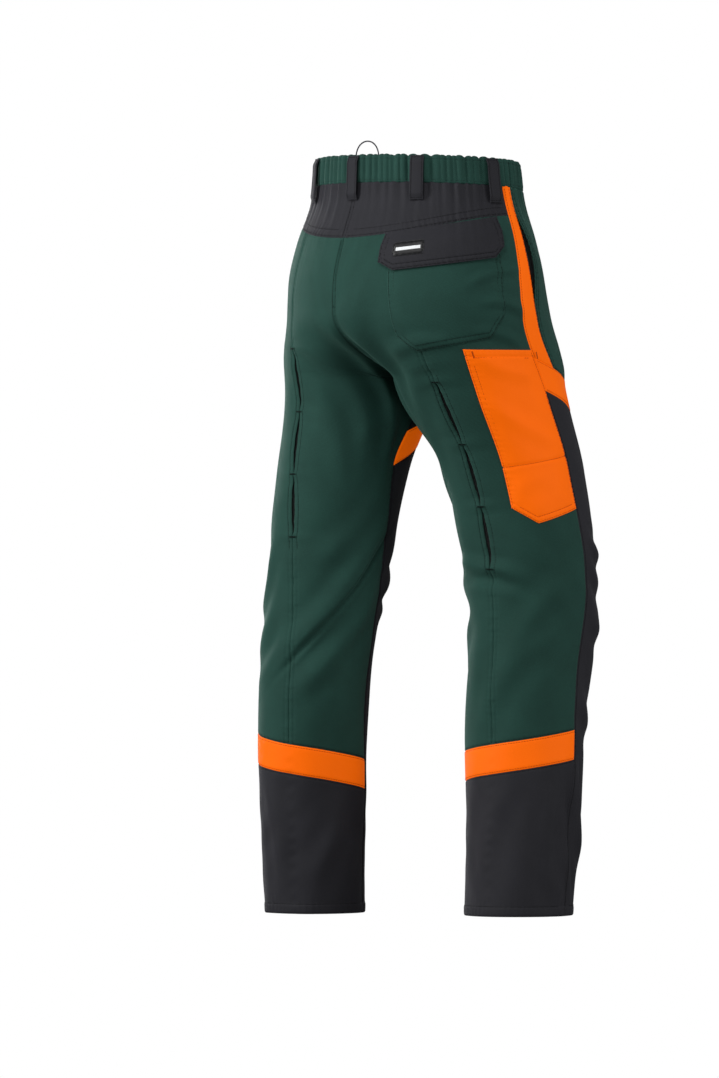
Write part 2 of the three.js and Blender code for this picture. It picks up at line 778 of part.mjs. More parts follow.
// ---------------------------------------------------------------- fly
// The zip is straight, from the waistband to the fly's lower end, so its slider runs true.
const frontAt = (x, z, out) => {
  const [width, front, back] = at(BODY, z);
  const depth = (back - front) / 2;
  return new THREE.Vector3(x, (front + back) / 2 - depth * Math.sqrt(1 - (x / width) ** 2) - out, z);
};
function frontSheet(xs, heights, low, high) {
  const layer = (offset) => heights.map((z) => xs.map((x) => frontAt(x, z, offset(x))));
  return slab(layer(high), layer(low));
}
const FLY_TOP = -55; // under the waistband at the centre front
const flyHeights = evenly(6, FLY_TOP + 1, FLY_BOTTOM);
const coverLift = (x) => mix(LIFT + 0.2, 3.8, smooth((44 - x) / 26));
const coverTop = (x) => coverLift(x) + PATCH;
add("fly_cover", frontSheet(evenly(8, -16, 48), flyHeights, coverLift, coverTop), GREEN);
const SHIELD = { half: 24, low: -15.2, high: -13.6 };
const shieldXs = evenly(4, -SHIELD.half, SHIELD.half);
add("fly_shield", frontSheet(shieldXs, flyHeights, flat(SHIELD.low), flat(SHIELD.high)), GREEN);

const ZIP = { tape: 11, coil: 2.2, split: 0.9, topZ: FLY_TOP - 4, bottomZ: FLY_BOTTOM + 6 };
const zipTop = frontAt(0, ZIP.topZ, -7);
const zipEnd = frontAt(0, ZIP.bottomZ, -7);
const zipLean = Math.atan((zipTop.y - zipEnd.y) / (ZIP.topZ - ZIP.bottomZ));
const zipLong = zipTop.distanceTo(zipEnd);
const zip = new THREE.Group();
zip.position.copy(zipTop);
zip.rotation.x = -zipLean;
trousers.add(zip);
// In the zip's own frame -Y is outwards and -Z runs down the zip.
function block(wide, deep, tall, x, y, z) {
  return solidOf(new THREE.BoxGeometry(wide, deep, tall).translate(x, y, z));
}
for (const side of SIDES) {
  const sign = STANCE[side].sign;
  const tape = block(ZIP.tape, 0.8, zipLong, sign * (ZIP.split + ZIP.tape / 2), 0, -zipLong / 2);
  const coil = block(ZIP.coil, 2.4, zipLong, sign * (ZIP.split + ZIP.coil / 2), 0, -zipLong / 2);
  add(`zip_tape_${side}`, tape.add(coil), DARK, zip);
}
const SLIDER_Z = -7; // centre of the slider below the top of the zip
// Two plates joined by a wedge, and on the outer plate a bail on two feet, which holds the pull.
const slider = [
  block(9, 1, 11, 0, 2, SLIDER_Z),
  block(1, 4.4, 4, 0, 0, SLIDER_Z + 3),
  block(2.4, 1.4, 1.2, 0, -2.9, SLIDER_Z + 4.4),
  block(2.4, 1.4, 1.2, 0, -2.9, SLIDER_Z - 0.4),
  block(2.4, 1.2, 6, 0, -3.4, SLIDER_Z + 2),
].reduce((whole, piece) => whole.add(piece), block(9, 1, 11, 0, -2, SLIDER_Z));
add("zip_slider", slider, METAL, zip);
const pullHole = block(3, 3, 5, 0, -4.6, SLIDER_Z + 1);
add("zip_pull", block(6, 0.8, 26, 0, -4.6, SLIDER_Z - 9).subtract(pullHole), METAL, zip);

// ---------------------------------------------------------------- waist tab and press stud
const tabZ = evenly(1, waistTop(-124) - 1, waistBottom(-124) + 2);
const TAB = { sewn: 38, free: -38, low: 1.1, high: 3.5, stud: -26 };
const tabXs = evenly(8, TAB.sewn, TAB.free);
const tabSheet = frontSheet(tabXs, tabZ, flat(TAB.low), flat(TAB.high));
const studZ = (tabZ[0] + tabZ[1]) / 2;
const studAt = frontAt(TAB.stud, studZ, 0);
const tabLean = (at(BODY, tabZ[0])[1] - at(BODY, tabZ[1])[1]) / (tabZ[0] - tabZ[1]);
const studTurn = Math.asin(TAB.stud / 166) * (123 / 166);
// Ring or disc along the tab's own outward direction at the stud.
function disc(radius, from, to, hole = 0, turns = 20) {
  const outline = [
    new THREE.Vector2(hole, from),
    new THREE.Vector2(radius, from),
    new THREE.Vector2(radius, to),
    new THREE.Vector2(hole, to),
  ];
  if (hole) outline.push(outline[0].clone());
  const geometry = new THREE.LatheGeometry(outline, turns);
  geometry.scale(1, -1, 1);
  geometry.rotateX(-Math.atan(tabLean)).rotateZ(studTurn);
  geometry.translate(studAt.x, studAt.y, studAt.z);
  return solidOf(geometry);
}
add("waist_tab", tabSheet.subtract(disc(5, -4, 9)), GREEN);
const capDome = disc(8, TAB.high + 0.5, TAB.high + 1.9);
add("press_stud_cap", capDome.add(disc(4.4, 1.4, TAB.high + 1.9, 3.2)), METAL);
add("press_stud_post", disc(2.5, 0.4, 3.6).add(disc(4.6, 0.4, 0.9)), METAL);

// ---------------------------------------------------------------- hanging loop at the centre back
const HANG = { x: -11, half: 23, low: -6, rise: 20, thick: 2.2, inside: 13.6 };
const hangY = waistPoint(0, -10, 0).y - HANG.inside;
const arch = new THREE.CatmullRomCurve3(
  evenly(12, 180, 0).map((a) => {
    const up = Math.sin(a * RAD);
    const z = waistTop(hangY) + HANG.low + (HANG.rise - HANG.low) * up ** 0.8;
    return new THREE.Vector3(HANG.x - HANG.half * Math.cos(a * RAD), hangY, z);
  }),
);
const round = new THREE.Shape();
round.absarc(0, 0, HANG.thick / 2, 0, 2 * Math.PI);
add(
  "hanging_loop",
  solidOf(new THREE.ExtrudeGeometry(round, { steps: 16, curveSegments: 8, extrudePath: arch })),
  CORD,
);

export default trousers;
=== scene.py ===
import math

import bpy
import numpy as np
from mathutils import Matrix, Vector


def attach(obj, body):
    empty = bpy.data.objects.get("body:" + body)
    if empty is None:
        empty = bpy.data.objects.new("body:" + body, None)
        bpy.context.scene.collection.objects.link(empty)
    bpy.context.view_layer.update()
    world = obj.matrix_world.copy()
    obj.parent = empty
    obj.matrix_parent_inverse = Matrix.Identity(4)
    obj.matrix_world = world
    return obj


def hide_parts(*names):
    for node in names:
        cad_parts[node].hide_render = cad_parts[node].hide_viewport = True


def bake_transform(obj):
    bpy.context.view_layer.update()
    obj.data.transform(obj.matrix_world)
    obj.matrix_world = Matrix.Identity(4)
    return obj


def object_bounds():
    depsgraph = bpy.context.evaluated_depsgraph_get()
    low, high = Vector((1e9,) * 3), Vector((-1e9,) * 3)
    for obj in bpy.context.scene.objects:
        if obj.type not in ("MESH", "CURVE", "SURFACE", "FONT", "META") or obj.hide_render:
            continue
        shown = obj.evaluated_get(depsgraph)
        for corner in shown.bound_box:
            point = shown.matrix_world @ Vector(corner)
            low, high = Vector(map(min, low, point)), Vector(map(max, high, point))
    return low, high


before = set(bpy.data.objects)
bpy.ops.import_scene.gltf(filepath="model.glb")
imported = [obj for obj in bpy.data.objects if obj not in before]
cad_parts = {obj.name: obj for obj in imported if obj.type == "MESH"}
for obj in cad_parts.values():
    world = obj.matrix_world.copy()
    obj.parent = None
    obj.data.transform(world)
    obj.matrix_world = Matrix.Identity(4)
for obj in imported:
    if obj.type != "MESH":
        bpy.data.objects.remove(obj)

cad_low, cad_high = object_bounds()

# ---------------------------------------------------------------- camera
# A long lens at the height of the knees looks level at the trousers, from behind and from the wearer's
# right.
CAMERA_TURN = math.radians(46)  # round from straight behind, towards the wearer's right
CAMERA_DISTANCE = 14
SEEN_HEIGHT = 1.52  # metres of the object's plane that the picture's long side shows
AIM_ASIDE, AIM_HEIGHT = -0.0825, -0.530

to_camera = Vector((-math.sin(CAMERA_TURN), math.cos(CAMERA_TURN), 0))
to_right = Vector((-math.cos(CAMERA_TURN), -math.sin(CAMERA_TURN), 0))
aim = to_right * AIM_ASIDE + Vector((0, 0, AIM_HEIGHT))
camera = bpy.data.objects.new("camera", bpy.data.cameras.new("camera"))
bpy.context.scene.collection.objects.link(camera)
camera.location = aim + to_camera * CAMERA_DISTANCE
camera.rotation_euler = (-to_camera).to_track_quat("-Z", "Y").to_euler()
camera.data.lens = camera.data.sensor_width * CAMERA_DISTANCE / SEEN_HEIGHT
camera.data.clip_end = 60
bpy.context.scene.camera = camera

# ---------------------------------------------------------------- studio
# A white floor that runs on to the horizon, a white surround, and four soft boxes: two at the sides that
# draw light edges down the legs, one high up on the camera's side, and one that lights the front.
STUDIO_WHITE = "#FFFFFF"
FLOOR_BELOW_HEM = 0.012
FLOOR_SIZE = 60
SURROUND_LIGHT = 0.29
FLOOR_LIGHT = 0.12


def linear(code, alpha=1.0):
    """sRGB hex to linear RGBA: each channel c becomes ((c + 0.055) / 1.055) ** 2.4, or c / 12.92 when
    dark."""
    channels = [int(code[i : i + 2], 16) / 255 for i in (1, 3, 5)]
    return (*[c / 12.92 if c <= 0.04045 else ((c + 0.055) / 1.055) ** 2.4 for c in channels], alpha)


def blank(kind, name):
    """A new material or world with an empty node tree, and that tree."""
    made = kind.new(name)
    made.use_nodes = True
    made.node_tree.nodes.clear()
    return made, made.node_tree


def node(tree, kind, links=None, **settings):
    """Adds one shader node. settings are its properties, or its sockets by name with _ for a space; links
    are the sources of its sockets."""
    made = tree.nodes.new(kind)
    for key, value in settings.items():
        if hasattr(made, key):
            setattr(made, key, value)
        else:
            name = key.replace("_", " ").lower()
            next(s for s in made.inputs if s.name.lower() == name and s.enabled).default_value = value
    for key, source in (links or {}).items():
        tree.links.new(source, made.inputs[key])
    return made


floor_material, tree = blank(bpy.data.materials, "studio_paper")
path = node(tree, "ShaderNodeLightPath")
seen = path.outputs["Is Camera Ray"]
bright = node(tree, "ShaderNodeMapRange", {"Value": seen}, To_Min=FLOOR_LIGHT, To_Max=1.0)
glow = node(tree, "ShaderNodeEmission", {"Strength": bright.outputs[0]}, Color=linear(STUDIO_WHITE))
node(tree, "ShaderNodeOutputMaterial", {"Surface": glow.outputs[0]})
half = FLOOR_SIZE / 2
floor_mesh = bpy.data.meshes.new("floor")
floor_z = cad_low[2] - FLOOR_BELOW_HEM
floor_mesh.from_pydata(
    [(-half, -half, floor_z), (half, -half, floor_z), (half, half, floor_z), (-half, half, floor_z)],
    [],
    [(0, 1, 2, 3)],
)
floor_mesh.materials.append(floor_material)
floor = bpy.data.objects.new("floor", floor_mesh)
bpy.context.scene.collection.objects.link(floor)

world, tree = blank(bpy.data.worlds, "surround")
bpy.context.scene.world = world
path = node(tree, "ShaderNodeLightPath")
backdrop = node(tree, "ShaderNodeBackground", Color=linear(STUDIO_WHITE), Strength=1.0)
lit = node(tree, "ShaderNodeBackground", Color=linear(STUDIO_WHITE), Strength=SURROUND_LIGHT)
seen = path.outputs["Is Camera Ray"]
mixed = node(tree, "ShaderNodeMixShader", {0: seen, 1: lit.outputs[0], 2: backdrop.outputs[0]})
node(tree, "ShaderNodeOutputWorld", {"Surface": mixed.outputs[0]})
bpy.context.scene.view_settings.view_transform = "Standard"


def soft_box(name, aside, towards, up, size, power):
    """An area light, in metres from the object's middle: aside to the picture's right, towards the camera,
    and up."""
    data = bpy.data.lights.new(name, "AREA")
    data.shape, data.size, data.size_y = "RECTANGLE", size[0], size[1]
    data.energy = power
    light = bpy.data.objects.new(name, data)
    bpy.context.scene.collection.objects.link(light)
    light.location = aim + to_right * aside + to_camera * towards + Vector((0, 0, up))
    light.rotation_euler = (light.location - aim).to_track_quat("Z", "Y").to_euler()
    light.visible_camera = False


soft_box("left_box", -2.3, 0.9, 0.7, (1.0, 2.4), 74)
soft_box("right_box", 2.4, 1.3, 0.0, (1.0, 2.4), 42)
soft_box("top_box", -0.5, 2.2, 1.8, (0.9, 0.9), 30)
soft_box("front_box", -1.5, -2.5, 0.6, (1.4, 2.4), 40)

# ---------------------------------------------------------------- the shape of the cloth
# All the panels are cut to lie on one skin: at every height a leg is a closed loop round its own axis, and
# above the crotch the two loops open into one oval. Angles go round a leg in degrees: 0 outwards, 90 back,
# 180 inside. All heights and lengths of the cloth are in millimetres.
RAD = math.pi / 180
HEM_Z = -1058
BODY = [  # height, half width, front, back
    (30, 161, -120, 123),
    (-20, 165, -122, 124),
    (-60, 173, -126, 128),
    (-110, 190, -140, 147),
    (-160, 199, -155, 162),
    (-210, 203, -165, 165),
    (-270, 203, -168, 161),
    (-340, 201, -166, 150),
]
LEG = [  # height, distance of the axis from the centre, half width, half depth
    (30, 78, 90, 120),
    (-150, 90, 100, 150),
    (-250, 97, 100, 138),
    (-330, 99, 94, 116),
    (-434, 105, 86, 101),
    (-560, 114, 82, 94),
    (-744, 124, 76, 85),
    (-860, 131, 74, 79),
    (HEM_Z, 140, 71, 75),
]
BODY_ENDS, LEGS_START = -212, -305  # heights between which the body's oval turns into the legs
# The legs' stance moves all of a leg below the second of these heights, but not the seat's centre above the
# first.
SEAT_HELD, SEAT_FREE = -305, -425
STANCE = {  # height, shift along Y, twist in degrees, size
    "left": [
        (-130, 0, 0, 1),
        (-225, 2, 0, 1),
        (-330, 20, 3, 0.99),
        (-434, 47, 8, 0.98),
        (-600, 66, 20, 0.975),
        (-744, 85, 27, 0.975),
        (-900, 78, 28, 0.975),
        (HEM_Z, 66, 28, 0.975),
    ],
    "right": [
        (-130, 0, 0, 1),
        (-225, -4, 0, 1),
        (-330, -42, 0, 1.03),
        (-434, -85, 0, 1.06),
        (-600, -112, 0, 1.085),
        (-744, -95, 0, 1.065),
        (-900, -77, 0, 1.065),
        (HEM_Z, -61, 0, 1.055),
    ],
}
SIDES = {"left": 1, "right": -1}
SEAM = -0.3  # two panels sewn edge to edge overlap by this much, so that no light shows through


def smooth(t):
    """Rises from 0 to 1 as t does: t^2 (3 - 2 t)."""
    t = np.clip(t, 0, 1)
    return t * t * (3 - 2 * t)


def through(stations, z):
    """Smooth (Catmull-Rom) curve through the stations, at heights z: one array for each value."""
    rows = np.asarray(stations, float)
    knots, h = -rows[:, 0], -np.clip(z, rows[-1, 0], rows[0, 0])
    i = np.clip(np.searchsorted(knots, h, side="right") - 1, 0, len(rows) - 2)
    before, after = np.maximum(i - 1, 0), np.minimum(i + 2, len(rows) - 1)
    span = knots[i + 1] - knots[i]
    t = (h - knots[i]) / span
    values = []
    for v in rows[:, 1:].T:
        start = (v[i + 1] - v[before]) / (knots[i + 1] - knots[before]) * span
        end = (v[after] - v[i]) / (knots[after] - knots[i]) * span
        values.append(
            v[i] * (2 * t**3 - 3 * t**2 + 1)
            + start * (t**3 - 2 * t**2 + t)
            + v[i + 1] * (3 * t**2 - 2 * t**3)
            + end * (t**3 - t**2)
        )
    return values


def reach(angle, z, size=1.0):
    """Distance from a leg's axis to the cloth: the leg's own oval below, the far side of the body's oval
    above."""
    cx, half_x, half_y = through(LEG, z)
    c, s = np.cos(angle * RAD), np.sin(angle * RAD)
    leg = size / np.hypot(c / half_x, s / half_y)
    width, front, back = through(BODY, z)
    depth, middle = (back - front) / 2, (back + front) / 2
    a = (c / width) ** 2 + (s / depth) ** 2
    b = 2 * cx * c / width**2 - 2 * middle * s / depth**2
    k = (cx / width) ** 2 + (middle / depth) ** 2 - 1
    body = (-b + np.sqrt(np.maximum(b * b - 4 * a * k, 0))) / (2 * a)
    share = smooth((z - LEGS_START) / (BODY_ENDS - LEGS_START))
    return leg + (body - leg) * share


def bare_skin(side, angle, z):
    """Points of the smooth skin: axis + reach * (cos, sin) of the angle, moved by the leg's stance."""
    shift, twist, size = through(STANCE[side], z)
    turned = angle + twist
    r = reach(turned, z, size)
    out = through(LEG, z)[0] + r * np.cos(turned * RAD)
    held = smooth((z - SEAT_FREE) / (SEAT_HELD - SEAT_FREE))
    moves = 1 + (smooth(np.abs(out) / 70) - 1) * held
    y = r * np.sin(turned * RAD) + shift * moves
    return np.stack([SIDES[side] * out, y, z + 0 * out], -1)


def outward(side, angle, z):
    """Unit normals of the smooth skin, from its slopes along the angle and the height."""
    across = bare_skin(side, angle + 0.5, z) - bare_skin(side, angle - 0.5, z)
    up = bare_skin(side, angle, z + 1) - bare_skin(side, angle, z - 1)
    n = np.cross(across, up) * SIDES[side]
    return n / np.linalg.norm(n, axis=-1, keepdims=True)


# Folds of the worn cloth. A crease is a line on a leg, given by angle and height of both ends, with the
# half width and the height of its ridge: they run where the cloth is pulled, from the crotch, the knees and
# the vents.
FOLD_RADIUS = 105
CREASE_DEPTH = 1.35
CREASES = {
    "left": [
        (118, -225, 160, -352, 13, 3.4),
        (106, -262, 148, -392, 15, 3.0),
        (132, -215, 166, -322, 9, 2.6),
        (96, -300, 134, -430, 18, 2.2),
        (146, -300, 176, -420, 10, 2.2),
        (182, -512, 82, -690, 17, 3.6),
        (178, -548, 84, -704, 5, -2.2),
        (176, -610, 100, -742, 17, 3.0),
        (170, -480, 120, -560, 16, 2.0),
        (60, -560, 20, -640, 14, 2.6),
        (70, -650, 30, -720, 15, -2.0),
        (250, -560, 200, -610, 13, 3.0),
        (300, -610, 215, -640, 14, 2.6),
        (320, -300, 250, -350, 16, 2.4),
        (330, -560, 270, -600, 13, 2.8),
        (150, -900, 110, -1010, 20, 2.0),
        (60, -880, 75, -1000, 18, 2.2),
    ],
    "right": [
        (112, -190, 120, -300, 13, 3.0),
        (124, -230, 134, -350, 11, -2.6),
        (100, -300, 120, -420, 15, 2.4),
        (60, -250, 98, -262, 9, 1.8),
        (5, -150, 38, -168, 7, 2.0),
        (0, -205, 30, -196, 8, 2.2),
        (8, -250, 40, -238, 8, 1.6),
        (60, -572, 118, -560, 9, 2.4),
        (60, -592, 112, -584, 8, -2.0),
        (120, -588, 176, -600, 20, 3.0),
        (18, -585, 74, -700, 18, 2.6),
        (36, -660, 90, -770, 18, 2.4),
        (120, -640, 150, -720, 14, 2.2),
        (330, -545, 290, -560, 12, 3.2),
        (338, -600, 280, -625, 13, -2.4),
        (330, -650, 270, -670, 14, 2.6),
        (340, -760, 300, -800, 15, 2.4),
        (345, -860, 320, -980, 12, 3.4),
        (352, -900, 335, -1010, 10, -2.4),
        (140, -440, 170, -560, 16, 2.6),
        (300, -300, 230, -340, 15, 2.4),
        (70, -880, 90, -1000, 20, 1.8),
        (20, -900, 10, -1030, 18, 2.0),
    ],
}
VENT = {"left": (-262, -527), "right": (-311, -572)}
VENT_OPENINGS = 3
BACK_SEAM = {"left": 84, "right": 79}


def ridge(angle, z, crease):
    """A fold: a round ridge with a hollow on each side, exp(-d^2) across the line, which fades beyond its
    ends."""
    a0, z0, a1, z1, width, height = crease
    x = ((angle - (a0 + a1) / 2 + 180) % 360 - 180) * RAD * FOLD_RADIUS
    y = z - (z0 + z1) / 2
    long = math.hypot((a1 - a0) * RAD * FOLD_RADIUS, z1 - z0)
    tx, ty = (a1 - a0) * RAD * FOLD_RADIUS / long, (z1 - z0) / long
    along = x * tx + y * ty
    across = (y * tx - x * ty) / width + 0.5 * (2 * along / long) ** 2
    beyond = np.maximum(np.abs(along) - long * 0.3, 0) / (long * 0.28)
    profile = np.exp(-(across**2)) - 0.42 * np.exp(-((np.abs(across) - 1.7) ** 2))
    return height * profile * np.exp(-(beyond**2))


def waist_angle(p):
    """Where a point is round the body: 0 at the centre back, 90 at the side, 180 at the front."""
    width, front, back = through(BODY, p[..., 2])
    return np.degrees(
        np.arctan2(np.abs(p[..., 0]) / width, (p[..., 1] - (front + back) / 2) / ((back - front) / 2))
    )


WAIST_SLOPE, WAIST_DIP, WAIST_FRONT = 0.05, 12, 124
BAND_TALL = 38


def waist_top(y):
    """Height of the waistband's upper edge: it slopes down from the back, and dips at the front."""
    return 2 + WAIST_SLOPE * y - WAIST_DIP * (np.minimum(y, 0) / WAIST_FRONT) ** 4


def waist_bottom(y):
    """Height of the waistband's lower edge."""
    return waist_top(y) - BAND_TALL


def gathers(s):
    """Uneven upright folds along an arc length s: three sines, 9 to 23 mm long, that drift in and out of
    step."""
    sway = 6 * np.sin(s / 41) + 4 * np.sin(s / 23 + 1)
    wave = np.sin((s + sway) * 2 * np.pi / 15.5) + 0.6 * np.sin((s - sway) * 2 * np.pi / 23 + 2)
    return wave + 0.35 * np.sin(s * 2 * np.pi / 9.1 + 1.3 * np.sin(s / 30))


PUCKER_LONG, PUCKER_WIDE = 15, 30  # how far the puckers round a bar tack reach along the seam and across it
GATHER_DEPTH, GATHER_FADE = 1.3, 30
FLY_FLAT = 46  # the front stays flat this far from the centre


def folds(side, angle, z, p):
    """How far the worn cloth stands off the smooth skin at angle and height; p is the bare point there."""
    lift = CREASE_DEPTH * sum(ridge(angle, z, crease) for crease in CREASES[side])
    phase = 0.0 if side == "left" else 1.9
    drape = (
        1.2 * np.sin(2 * angle * RAD + z / 74 + phase)
        + 1.0 * np.sin(3 * angle * RAD - z / 51 + 2 * phase)
        + 0.7 * np.sin(5 * angle * RAD + z / 33 + phase)
        + 0.4
        * np.sin(9 * angle * RAD - z / 17 + 3 * np.sin(z / 61) + phase)
        * np.sin(z / 43 + 2 * angle * RAD)
    )
    lift = lift + drape * smooth((-z - 120) / 160)
    # Tight puckers beside the bar tacks and along the vented seam.
    top, bottom = VENT[side]
    from_seam = (angle - BACK_SEAM[side]) * RAD * FOLD_RADIUS
    for k in range(VENT_OPENINGS + 1):
        tack = top + (bottom - top) * k / VENT_OPENINGS
        near = np.exp(-(((z - tack) / PUCKER_LONG) ** 2)) * np.exp(-((from_seam / PUCKER_WIDE) ** 2))
        lift = lift + near * (1.2 * np.cos((z - tack) / 5.2 + 0.03 * from_seam) - 0.8)
    on_seam = np.exp(-((from_seam / 7) ** 2)) * smooth((-z - 230) / 30)
    lift = lift + 0.35 * np.sin(z / 3.1 + np.sin(z / 17)) * on_seam
    # Gathers under the waistband.
    below = waist_bottom(p[..., 1]) - z
    s = waist_angle(p) * RAD * 150 * np.sign(p[..., 0])
    share = 0.35 + 0.65 * smooth((150 - waist_angle(p)) / 60)
    fading = np.exp(-np.maximum(below, 0) / GATHER_FADE) * smooth((below + 3) / 7)
    lift = lift + share * gathers(s) * GATHER_DEPTH * fading
    # The cloth is held at the centre seam, and the fly's layers keep the front flat.
    lift = lift * np.where(z > -330, smooth(np.abs(p[..., 0]) / 14), 1)
    at_fly = (p[..., 1] < 0) & (z > -260)
    return lift * np.where(at_fly, smooth((np.abs(p[..., 0]) - FLY_FLAT) / 22 + smooth((-z - 200) / 50)), 1)


SEAT_SEAM_END = -312  # the lower end of the seam that joins the two halves


def skin(side, angle, z, offset=0.0, folded=True):
    """Points offset along the smooth skin's normal, with the folds; neither half crosses the centre seam."""
    angle, z = np.broadcast_arrays(np.asarray(angle, float), np.asarray(z, float))
    p = bare_skin(side, angle, z)
    lift = offset + (folds(side, angle, z, p) if folded else 0)
    moved = p + outward(side, angle, z) * np.asarray(lift)[..., None]
    # At the centre seam the two halves stay together, however the cloth beside it lies.
    sign = SIDES[side]
    bare = np.abs(p[..., 0])
    free = np.where(z > SEAT_SEAM_END, smooth((bare - 0.3) / 4), 1)
    near = np.where(z > SEAT_SEAM_END, smooth(bare / 2), 1)
    out = bare * near + (sign * moved[..., 0] - bare) * free
    moved[..., 0] = sign * np.maximum(out + SEAM / 2 * (1 - near), SEAM / 2)
    return moved


# Seam lines: the angle of each seam at every height, and the height of each cross seam at every angle.
FINE_Z = np.arange(40, HEM_Z - 10, -1.0)


def rise_angle(side, x, start):
    """Angle, for each of FINE_Z, at which the skin is x from the centre plane, found by halving. It is NaN
    below the crotch, where the skin never comes so near."""
    outer, inner = np.full(FINE_Z.shape, float(start)), np.full(FINE_Z.shape, 180.0)
    never = SIDES[side] * bare_skin(side, inner, FINE_Z)[..., 0] >= x
    for _ in range(36):
        middle = (outer + inner) / 2
        far = SIDES[side] * bare_skin(side, middle, FINE_Z)[..., 0] > x
        outer, inner = np.where(far, middle, outer), np.where(far, inner, middle)
    return np.where(never, np.nan, (outer + inner) / 2)


FLY_X, FLY_BOTTOM = 15, -190
crotch_z = FINE_Z[np.isnan(rise_angle("left", 0, 80))][0]
inseam_line = 180 + 6 * smooth((crotch_z - FINE_Z) / 60)
fly_half = FLY_X * smooth((FINE_Z - FLY_BOTTOM - 2) / 14)
rise_lines = {}
for side in SIDES:
    for end, start, x in (("back", 80, 0 * FINE_Z), ("front", 280, fly_half)):
        found = rise_angle(side, x, start)
        rise_lines[side, end] = np.where(np.isnan(found), inseam_line, found)


def along(line):
    """A seam line kept at FINE_Z, as a function of height."""
    return lambda z: np.interp(-z, -FINE_Z, line)


inseam = along(inseam_line)


# Angles of the side seam at the waist and on the leg, and of the inseam.
SIDE_WAIST, SIDE_LEG, INSIDE = 358, 347, 186


def side_seam(z):
    """The side seam's angle as the front panels count it: it moves 11 degrees forwards over the hip."""
    return SIDE_WAIST - (SIDE_WAIST - SIDE_LEG) * smooth((-z - 225) / 100)


def side_seam_back(z):
    """The same seam as the back panels count it."""
    return side_seam(z) - 360


def gusset_edge(side):
    """The seam between the front and the gusset: from a point in the centre seam it spreads by up to 36
    degrees."""
    return lambda z: along(rise_lines[side, "front"])(z) + 36 * np.clip((-300 - z) / 66, 0, 1)


def sloping(start, fall, first, last):
    """A cross seam at height start at the first angle, which is lower by fall at the last."""
    return lambda angle, p=None: start - fall * (angle - first) / (last - first)


band_top = sloping(-280, 98, SIDE_LEG, INSIDE)
band_bottom = sloping(-322, 104, SIDE_LEG, INSIDE)
CALF_TALL = 41
calf_top = sloping(-798, 43, SIDE_LEG - 360, INSIDE)


def calf_bottom(angle, p=None):
    """The calf band's lower edge."""
    return calf_top(angle) - CALF_TALL


def yoke_bottom(angle, p):
    """The yoke is 30 mm deeper at the centre back than at the sides."""
    return -78 - 30 * (1 - smooth(waist_angle(p) / 92))


def under_band(angle, p):
    """The seam under the waistband."""
    return waist_bottom(p[..., 1])


def level(value):
    """A seam line that is the same everywhere."""
    return lambda angle, p=None: value + 0 * angle


def solve(side, piece, u, v, trim=SEAM / 2):
    """Angle and height of the points (u, v) of a panel: u from its first side line to its second, v from
    top to bottom. The lines depend on each other, so both are settled by repeating. trim draws all the
    edges in."""
    u, v = np.broadcast_arrays(np.asarray(u, float), np.asarray(v, float))
    z = np.full(u.shape, -400.0)
    angle = piece["from"](z) + (piece["to"](z) - piece["from"](z)) * u
    for _ in range(14):
        p = bare_skin(side, angle, z)
        top, bottom = piece["top"](angle, p) - trim, piece["bottom"](angle, p) + trim
        z = top + (bottom - top) * v
        a, b = piece["from"](z), piece["to"](z)
        inset = np.sign(b - a) * trim / reach(angle, z) / RAD
        angle = (a + inset) + ((b - inset) - (a + inset)) * u
    return angle, z


def spread(length, step, near=(), far=()):
    """Fractions 0 to 1 along a length, a step apart, closer at both turned edges and at stitch lines that
    lie near and far insets from its two ends."""
    marks = [0, 0.4, 1.0, 1.9, length - 1.9, length - 1.0, length - 0.4, length]
    for inset in near:
        marks += [inset - 1, inset, inset + 1]
    for inset in far:
        marks += [length - inset - 1, length - inset, length - inset + 1]
    fine = np.unique(np.round(np.clip(marks, 0, length), 2))
    even = np.linspace(0, length, max(int(length / step), 4))
    apart = np.abs(even[:, None] - fine[None]).min(1) > 0.45 * step
    return np.sort(np.concatenate([fine, even[apart]])) / length


def lengths(p, axis):
    """Distance walked along a grid's rows or columns, from the first."""
    steps = np.linalg.norm(np.diff(p, axis=axis), axis=-1)
    start = np.zeros_like(np.take(steps, [0], axis=axis))
    return np.concatenate([start, np.cumsum(steps, axis=axis)], axis=axis)


def edge_distances(points):
    """Distances walked along a grid's rows and its columns, and each point's distance from the four
    edges."""
    row, column = lengths(points, 1), lengths(points, 0)
    return row, column, {"from": row, "to": row[:, -1:] - row, "top": column, "bottom": column[-1:] - column}


def link(mesh, name, material):
    """A smooth-shaded object of one material, placed by its mesh alone."""
    mesh.polygons.foreach_set("use_smooth", np.ones(len(mesh.polygons), bool))
    mesh.materials.append(material)
    made = bpy.data.objects.new(name, mesh)
    bpy.context.scene.collection.objects.link(made)
    return made


